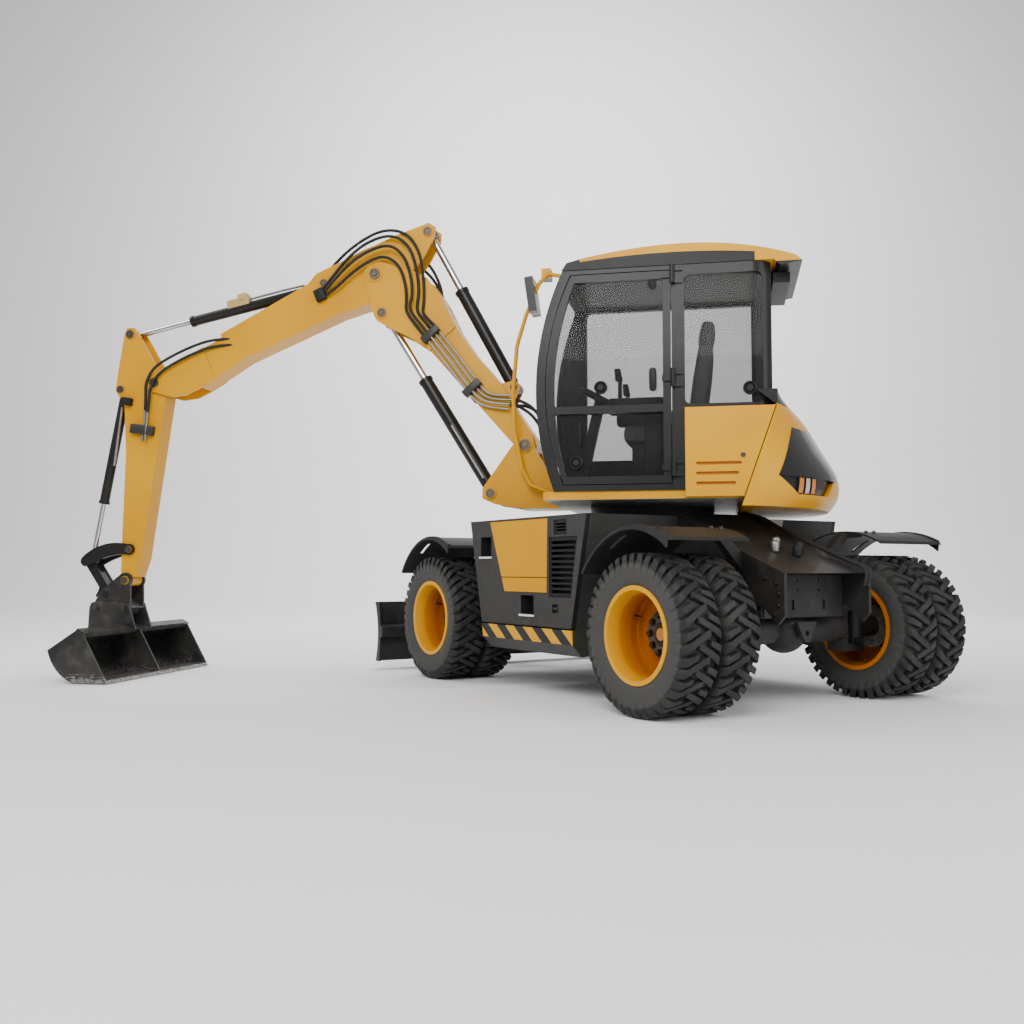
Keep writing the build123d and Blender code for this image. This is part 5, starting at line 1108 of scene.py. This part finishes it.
class EXCAVATOR_OT_pipes(bpy.types.Operator):
    """Run the steel pipes along the arm, with their clamps and blocks"""

    bl_idname = "excavator.pipes"
    bl_label = "Pipes"

    # forward, up, and how much of a pipe's shift goes forward and down there
    BOOM = ((1.705, 2.765, 0.8, 0.7), (1.52, 2.525, 0.8, 0.7), (1.375, 2.330, 0.8, 0.7),
            (1.30, 2.235, 0.7, 0.7), (1.20, 2.204, 0.4, 0.9), (1.07, 2.198, 0.3, 1.0))

    def execute(self, context):
        sizes = settings("hoses")
        place = link_place("upper")
        runs = []
        for shift, left in ((0.0, 0.150), (0.036, 0.172), (0.072, 0.150), (-0.036, 0.144), (0.0, -0.142)):
            points = [(forward + shift * ahead, left, up - shift * below)
                      for forward, up, ahead, below in self.BOOM]
            runs.append(tube("boom_pipe", points, sizes.pipe, 8))
        pipes = hold(*runs)
        bpy.ops.object.join()
        pipes.name = "boom_pipes"
        dress(pipes, "lower_boom", "pipe_steel", place)
        lean = Matrix.Rotation(radians(-48.9), 4, "Y")
        for number, (x, z) in enumerate(((1.715, 2.752), (1.375, 2.311)), 1):
            for hand, y in (("left", 0.150), ("right", -0.137)):
                size = (0.060, 0.075 if y > 0 else 0.046, 0.165)
                clamp = chamfered_box(f"boom_clamp_{number}_{hand}", size, (x + 0.012, y, z - 0.010),
                                      0.006, lean)
                dress(clamp, "lower_boom", "grey_paint", place)
        for name, body, size, at, tilt, coat in (
            ("hose_block", "upper_boom", (0.085, 0.046, 0.100), (2.672, 0.1235, 3.118), 22.6,
             "black_plastic"),
            ("hose_block_far", "upper_boom", (0.085, 0.046, 0.100), (2.672, -0.1235, 3.118), 22.6,
             "black_plastic"),
            ("crowd_valve", "crowd_barrel", (0.200, 0.078, 0.075), (3.440, 0.0, 3.118), 11.0, "valve_tan"),
            ("crowd_valve_cap", "crowd_barrel", (0.075, 0.100, 0.055), (3.400, 0.0, 3.165), 11.0,
             "valve_tan"),
            ("dipper_clamp", "dipper", (0.080, 0.050, 0.210), (4.255, 0.1055, 2.055), 81.8, "grey_paint"),
            ("tool_valve", "dipper", (0.065, 0.056, 0.090), (4.405, 0.109, 2.300), 81.8, "black_plastic"),
        ):
            block = chamfered_box(name, size, at, 0.006, Matrix.Rotation(radians(tilt), 4, "Y"))
            dress(block, body, coat, place)
        for name, body, points in (
            # pipes that lie along a barrel or the dipper
            ("crowd_pipe", "crowd_barrel", ((2.86, 0.0, 3.240), (3.02, 0.0, 3.215), (3.34, 0.0, 3.150))),
            ("tool_pipe", "tool_barrel", ((4.480, 0.052, 2.260), (4.500, 0.052, 2.100),
                                          (4.545, 0.052, 1.760))),
            ("lift_pipe", "lift_barrel", ((1.314, 0.063, 1.598), (1.445, 0.063, 1.811),
                                          (1.575, 0.063, 2.024))),
            ("dipper_pipe_1", "dipper", ((4.235, 0.100, 2.220), (4.245, 0.096, 2.10), (4.262, 0.096, 1.960))),
            ("dipper_pipe_2", "dipper", ((4.200, 0.124, 2.200), (4.206, 0.124, 2.10), (4.220, 0.120, 1.960))),
        ):
            dress(tube(name, points, sizes.pipe, 8), body, "pipe_steel", place)
        return {"FINISHED"}


class EXCAVATOR_OT_seat(bpy.types.Operator):
    """Model the driver's seat with its crowned pads, and the console arms beside it"""

    bl_idname = "excavator.seat"
    bl_label = "Seat"

    def execute(self, context):
        place = link_place("upper")
        lean = Matrix.Rotation(radians(-8.0), 4, "Y")
        pads = (
            # name, size, place, turn, crown
            ("seat_cushion", (0.470, 0.480, 0.130), (-0.105, 0.6725, 1.815), Matrix(), 0.016),
            ("seat_back", (0.105, 0.470, 0.560), (-0.390, 0.6725, 2.130), lean, 0.014),
            ("seat_head", (0.085, 0.250, 0.185), (-0.432, 0.6725, 2.500), lean, 0.014),
        )
        for name, size, at, turn, crown in pads:
            pad = self.pad(name, size, crown)
            pad.data.transform(Matrix.Translation(Vector(at)) @ turn)
            dress(pad, "upper", "seat_fabric", place)
            if name == "seat_cushion":
                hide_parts("seat")
        base = chamfered_box("seat_base", (0.40, 0.38, 0.300), (-0.120, 0.6725, 1.5985), 0.012)
        dress(base, "upper", "black_plastic", place)
        for hand, y in (("left", 0.975), ("right", 0.370)):
            arm = chamfered_box(f"console_{hand}", (0.420, 0.120, 0.110), (0.020, y, 1.985), 0.022)
            dress(arm, "upper", "black_plastic", place)
            leg = chamfered_box(f"console_leg_{hand}", (0.130, 0.070, 0.484), (-0.080, y, 1.690), 0.012)
            dress(leg, "upper", "black_plastic", place)
            self.joystick(hand, y, place)
        return {"FINISHED"}

    def pad(self, name, size, crown):
        """A soft block: subdivided, its faces crowned and its edges piped."""
        piece = primitive("cube", name, size=1.0)
        piece.data.transform(Matrix.Diagonal((*size, 1.0)))
        modify(piece, "BEVEL", width=min(size) * 0.30, segments=3)
        modify(piece, "SUBSURF", levels=2, render_levels=2)
        half = Vector(size) / 2
        for vertex in piece.data.vertices:
            swell = [max(0.0, 1.0 - (vertex.co[i] / half[i]) ** 2) for i in range(3)]
            for axis in range(3):
                others = swell[(axis + 1) % 3] * swell[(axis + 2) % 3]
                vertex.co[axis] += crown * others * vertex.co[axis] / half[axis]
        soften(piece, 80.0)
        return piece

    def joystick(self, hand, y, place):
        stem = primitive("cylinder", f"joystick_{hand}", vertices=16, radius=0.014, depth=0.12,
                         location=(0.150, y, 2.098))
        edit(stem)
        pick_faces(stem, lambda face: face.normal.z > 0.9)
        bpy.ops.mesh.extrude_region_move(TRANSFORM_OT_translate={"value": (0.006, 0.0, 0.004)})
        bpy.ops.transform.resize(value=(1.9, 1.9, 1.0))
        bpy.ops.mesh.extrude_region_move(TRANSFORM_OT_translate={"value": (0.012, 0.0, 0.085)})
        bpy.ops.transform.resize(value=(0.8, 0.8, 1.0))
        leave()
        modify(stem, "BEVEL", width=0.003, segments=2, limit_method="ANGLE")
        soften(stem, 50.0)
        dress(stem, "upper", "black_plastic", place)


class EXCAVATOR_OT_cab(bpy.types.Operator):
    """Add the window catches, the glass hinges, the door's handle and the wiper"""

    bl_idname = "excavator.cab"
    bl_label = "Cab fittings"

    # Outer face of the side windows
    GLASS_LEFT = 1.1305

    def execute(self, context):
        place = link_place("upper")
        catch = self.catch()
        for name, body, x, z in (("window_catch_door", "cab_door", 0.263, 2.093),
                                 ("window_catch_rear", "upper", -0.709, 2.059),
                                 ("window_catch_low", "cab_door", 0.430, 1.593)):
            spot = copy_to(catch, [Matrix.Translation((x, self.GLASS_LEFT, z)) @ outwards()], name)
            dress(spot, body, "black_plastic", place)
        discard(catch)
        handle = tube("door_handle", ((0.395, 1.150, 1.700), (0.395, 1.182, 1.710), (0.398, 1.188, 1.780),
                                      (0.401, 1.182, 1.850), (0.401, 1.150, 1.860)), 0.009)
        dress(handle, "cab_door", "black_plastic", place)
        for number, z in enumerate((2.821, 2.137), 1):
            pad = self.hinge_pad(f"hinge_pad_{number}", z)
            dress(pad, "cab_door", "black_plastic", place)
        arm = tube("wiper_arm", ((0.640, 0.50, 1.560), (0.688, 0.52, 1.640), (0.722, 0.60, 1.900),
                                 (0.728, 0.66, 2.150)), 0.007, 8)
        blade = chamfered_box("wiper_blade", (0.012, 0.020, 0.620), (0.722, 0.70, 2.080), 0.003,
                              Matrix.Rotation(radians(-9.0), 4, "X"))
        wiper = hold(arm, blade)
        bpy.ops.object.join()
        wiper.name = "wiper"
        dress(wiper, "upper", "black_plastic", place)
        return {"FINISHED"}

    def hinge_pad(self, name, z):
        """An oval plate on the door's glass, with its fold turned up round the edge."""
        pad = primitive("cylinder", name, vertices=32, radius=0.025, depth=0.010, location=(0, 0, 0.005))
        for vertex in pad.data.vertices:
            vertex.co.y += 0.055 if vertex.co.y > 0 else -0.055
        step_top(pad, ((0.006, 0.004),))
        soften(pad)
        pad.data.transform(Matrix.Translation((-0.083, self.GLASS_LEFT, z)) @ outwards())
        return pad

    def catch(self):
        """A round rubber stop with a raised rim. It points up."""
        piece = primitive("cylinder", "catch", vertices=32, radius=0.044, depth=0.024, location=(0, 0, 0.012))
        step_top(piece, ((0.010, 0.006), (0.006, -0.010), (0.008, 0.008)))
        soften(piece)
        return piece


class EXCAVATOR_OT_chassis(bpy.types.Operator):
    """Dress the chassis: the rear plate with its slots, bolts, the deck's fittings and lines"""

    bl_idname = "excavator.chassis"
    bl_label = "Chassis fittings"

    # Outer radius of a fender about its axle
    FENDER = 0.6522

    def execute(self, context):
        sizes = settings("fittings")
        holes = [(y, z, 0.007, 0.007) for y in (-0.13, 0.06) for z in (0.75, 0.81)]
        holes += [(-0.175, 0.655, 0.034, 0.013), (0.105, 0.655, 0.034, 0.013)]
        corners = ((-0.355, 0.580), (0.355, 0.580), (0.355, 0.845), (-0.355, 0.845))
        plate = outlined("rear_plate", corners, 0.012, holes)
        dress(plate, "undercarriage", "chassis_paint", facing_back((-1.5075, 0.0, 0.0)))
        corners = ((-0.085, 0.0), (0.085, 0.0), (0.032, -0.105), (0.018, -0.125), (-0.018, -0.125),
                   (-0.032, -0.105))
        hitch = outlined("tow_lug", corners, 0.026, ((0.0, -0.070, 0.020, 0.020),), 0.003)
        dress(hitch, "undercarriage", "chassis_paint", facing_back((-1.52, 0.0, 0.545)))
        bolt = bolt_head(sizes.bolt, 0.014)
        seats = []
        for sign in (1, -1):
            for x, z in ((-1.655, 0.800), (-1.675, 0.735), (-1.672, 0.665), (-1.640, 0.610), (-1.560, 0.830),
                         (1.655, 0.800), (1.675, 0.735), (1.672, 0.665), (1.640, 0.610)):
                seats.append(Matrix.Translation((x, sign * CHASSIS_HALF, z)) @ outwards(sign))
            for x in (-0.50, -0.25, 0.0, 0.25, 0.50):
                seats.append(Matrix.Translation((x, sign * 0.30, DECK_TOP)))
        for index in range(16):
            angle = 2.0 * pi * (index + 0.5) / 16
            seats.append(Matrix.Translation((0.485 * cos(angle), 0.485 * sin(angle), DECK_TOP)))
        bolts = copy_to(bolt, seats, "chassis_bolts")
        dress(bolts, "undercarriage", "pin_steel")
        fender_seats = []
        for end in (1, -1):
            for sign in (1, -1):
                for angle in (78.0, 102.0):
                    lean = radians(angle)
                    for y in (0.66, 0.74):
                        at = (end * WHEEL_FORWARD + self.FENDER * cos(lean), sign * y,
                              WHEEL_UP + self.FENDER * sin(lean))
                        fender_seats.append(Matrix.Translation(at) @ Matrix.Rotation(pi / 2 - lean, 4, "Y"))
        dress(copy_to(bolt, fender_seats, "fender_bolts"), "undercarriage", "pin_steel")
        discard(bolt)
        for number, (x, y) in enumerate(((-1.30, 0.03), (-1.38, -0.10), (-1.36, 0.10), (-1.44, -0.02)), 1):
            z = 0.857 + (x + 1.715) * (1.165 - 0.857) / (1.715 - 0.935)
            fitting = primitive("cylinder", f"deck_fitting_{number}", vertices=24, radius=0.030, depth=0.060,
                                location=(x, y, z + 0.030))
            step_top(fitting, ((0.010, 0.014), (0.006, 0.0)))
            modify(fitting, "BEVEL", width=0.003, segments=2, limit_method="ANGLE")
            soften(fitting)
            dress(fitting, "undercarriage", "pipe_steel" if number % 2 else "black_plastic")
        for number, side in enumerate((-0.300, -0.330), 1):
            route = ((-0.62, 1.290), (-0.80, 1.270), (-1.00, 1.165), (-1.35, 1.035), (-1.62, 0.930),
                     (-1.74, 0.900), (-1.765, 0.840), (-1.735, 0.780))
            line = tube(f"deck_line_{number}", [(forward, side, up) for forward, up in route], 0.011)
            dress(line, "undercarriage", "hose_rubber")
        return {"FINISHED"}


class EXCAVATOR_OT_stage(bpy.types.Operator):
    """Set the floor, the studio lights and the camera"""

    bl_idname = "excavator.stage"
    bl_label = "Stage"

    def execute(self, context):
        scene = bpy.context.scene
        turn, rise = radians(CAMERA_TURN), radians(CAMERA_RISE)
        self.backdrop(turn)
        world = bpy.data.worlds.new("studio")
        world.use_nodes = True
        sky = world.node_tree.nodes["Background"]
        sky.inputs["Color"].default_value = (1.0, 1.0, 1.0, 1.0)
        sky.inputs["Strength"].default_value = 0.40
        scene.world = world
        for name, at, energy, size, aim in (
            ("key_light", (-6.5, 7.5, 7.0), 1000.0, 6.0, (0.3, 0.3, 1.4)),
            ("fill_light", (-8.0, -2.0, 3.5), 320.0, 6.0, (0.0, 0.0, 1.3)),
            ("rim_light", (5.0, 6.0, 6.0), 240.0, 4.0, (0.5, 0.5, 1.8)),
            ("backdrop_light", (6.0, -3.7, 12.0), 2600.0, 10.0, (15.0, -9.2, 3.0)),
        ):
            lamp = bpy.data.lights.new(name, "AREA")
            lamp.energy = energy
            lamp.size = size
            holder = bpy.data.objects.new(name, lamp)
            holder.location = at
            holder.rotation_euler = (Vector(aim) - Vector(at)).to_track_quat("-Z", "Y").to_euler()
            scene.collection.objects.link(holder)
        view = bpy.data.cameras.new("camera")
        view.lens = CAMERA_LENS
        view.sensor_width = 36.0
        view.clip_end = 200.0
        camera = bpy.data.objects.new("camera", view)
        camera.location = CAMERA_AT
        ahead = Vector((cos(turn) * cos(rise), -sin(turn) * cos(rise), sin(rise)))
        camera.rotation_euler = ahead.to_track_quat("-Z", "Y").to_euler()
        scene.collection.objects.link(camera)
        scene.camera = camera
        return {"FINISHED"}

    def backdrop(self, turn):
        """A floor that sweeps up into a wall behind the machine, square to the view."""
        floor = primitive("plane", "floor", size=44.0)
        bpy.ops.object.mode_set(mode="EDIT")
        bpy.ops.mesh.select_mode(type="EDGE")
        bpy.ops.mesh.select_all(action="DESELECT")
        leave()
        for side in floor.data.edges:
            side.select = all(floor.data.vertices[index].co.x > 0 for index in side.vertices)
        bpy.ops.object.mode_set(mode="EDIT")
        bpy.ops.mesh.extrude_region_move(TRANSFORM_OT_translate={"value": (0.0, 0.0, 20.0)})
        bpy.ops.mesh.select_all(action="DESELECT")
        leave()
        for side in floor.data.edges:
            ends = [floor.data.vertices[index].co for index in side.vertices]
            side.select = all(end.x > 0 and end.z < 0.01 for end in ends)
        bpy.ops.object.mode_set(mode="EDIT")
        bpy.ops.mesh.bevel(offset=5.0, segments=16, affect="EDGES")
        leave()
        soften(floor, 60.0)
        settle(floor, Matrix.Rotation(-turn, 4, "Z") @ Matrix.Translation((-4.0, 0.0, 0.0)))
        floor.data.materials.append(finish("floor_finish"))


class EXCAVATOR_PT_panel(bpy.types.Panel):
    """Lists the steps and their values in the 3D view's sidebar"""

    bl_idname = "EXCAVATOR_PT_panel"
    bl_label = "Excavator"
    bl_space_type = "VIEW_3D"
    bl_region_type = "UI"
    bl_category = "Excavator"

    def draw(self, context):
        column = self.layout.column()
        for group in GROUPS:
            box = column.box()
            box.label(text=group.title())
            for name in GROUPS[group].__annotations__:
                box.prop(settings(group), name)
        for step in STEPS:
            column.operator(step.bl_idname)


GROUPS = {"colours": ExcavatorColours, "tyres": ExcavatorTyres, "hoses": ExcavatorHoses,
          "fittings": ExcavatorFittings}
STEPS = (
    EXCAVATOR_OT_finishes, EXCAVATOR_OT_tyres, EXCAVATOR_OT_hubs, EXCAVATOR_OT_pins, EXCAVATOR_OT_hoses,
    EXCAVATOR_OT_pipes, EXCAVATOR_OT_seat, EXCAVATOR_OT_cab, EXCAVATOR_OT_chassis,
    EXCAVATOR_OT_stage,
)


def register():
    for group, holder in GROUPS.items():
        bpy.utils.register_class(holder)
        setattr(bpy.types.Scene, f"excavator_{group}", bpy.props.PointerProperty(type=holder))
    for step in STEPS:
        bpy.utils.register_class(step)
    bpy.utils.register_class(EXCAVATOR_PT_panel)


def unregister():
    bpy.utils.unregister_class(EXCAVATOR_PT_panel)
    for step in reversed(STEPS):
        bpy.utils.unregister_class(step)
    for group, holder in GROUPS.items():
        delattr(bpy.types.Scene, f"excavator_{group}")
        bpy.utils.unregister_class(holder)


def main():
    register()
    for step in STEPS:
        group, name = step.bl_idname.split(".")
        getattr(getattr(bpy.ops, group), name)()


if __name__ == "__main__":
    main()
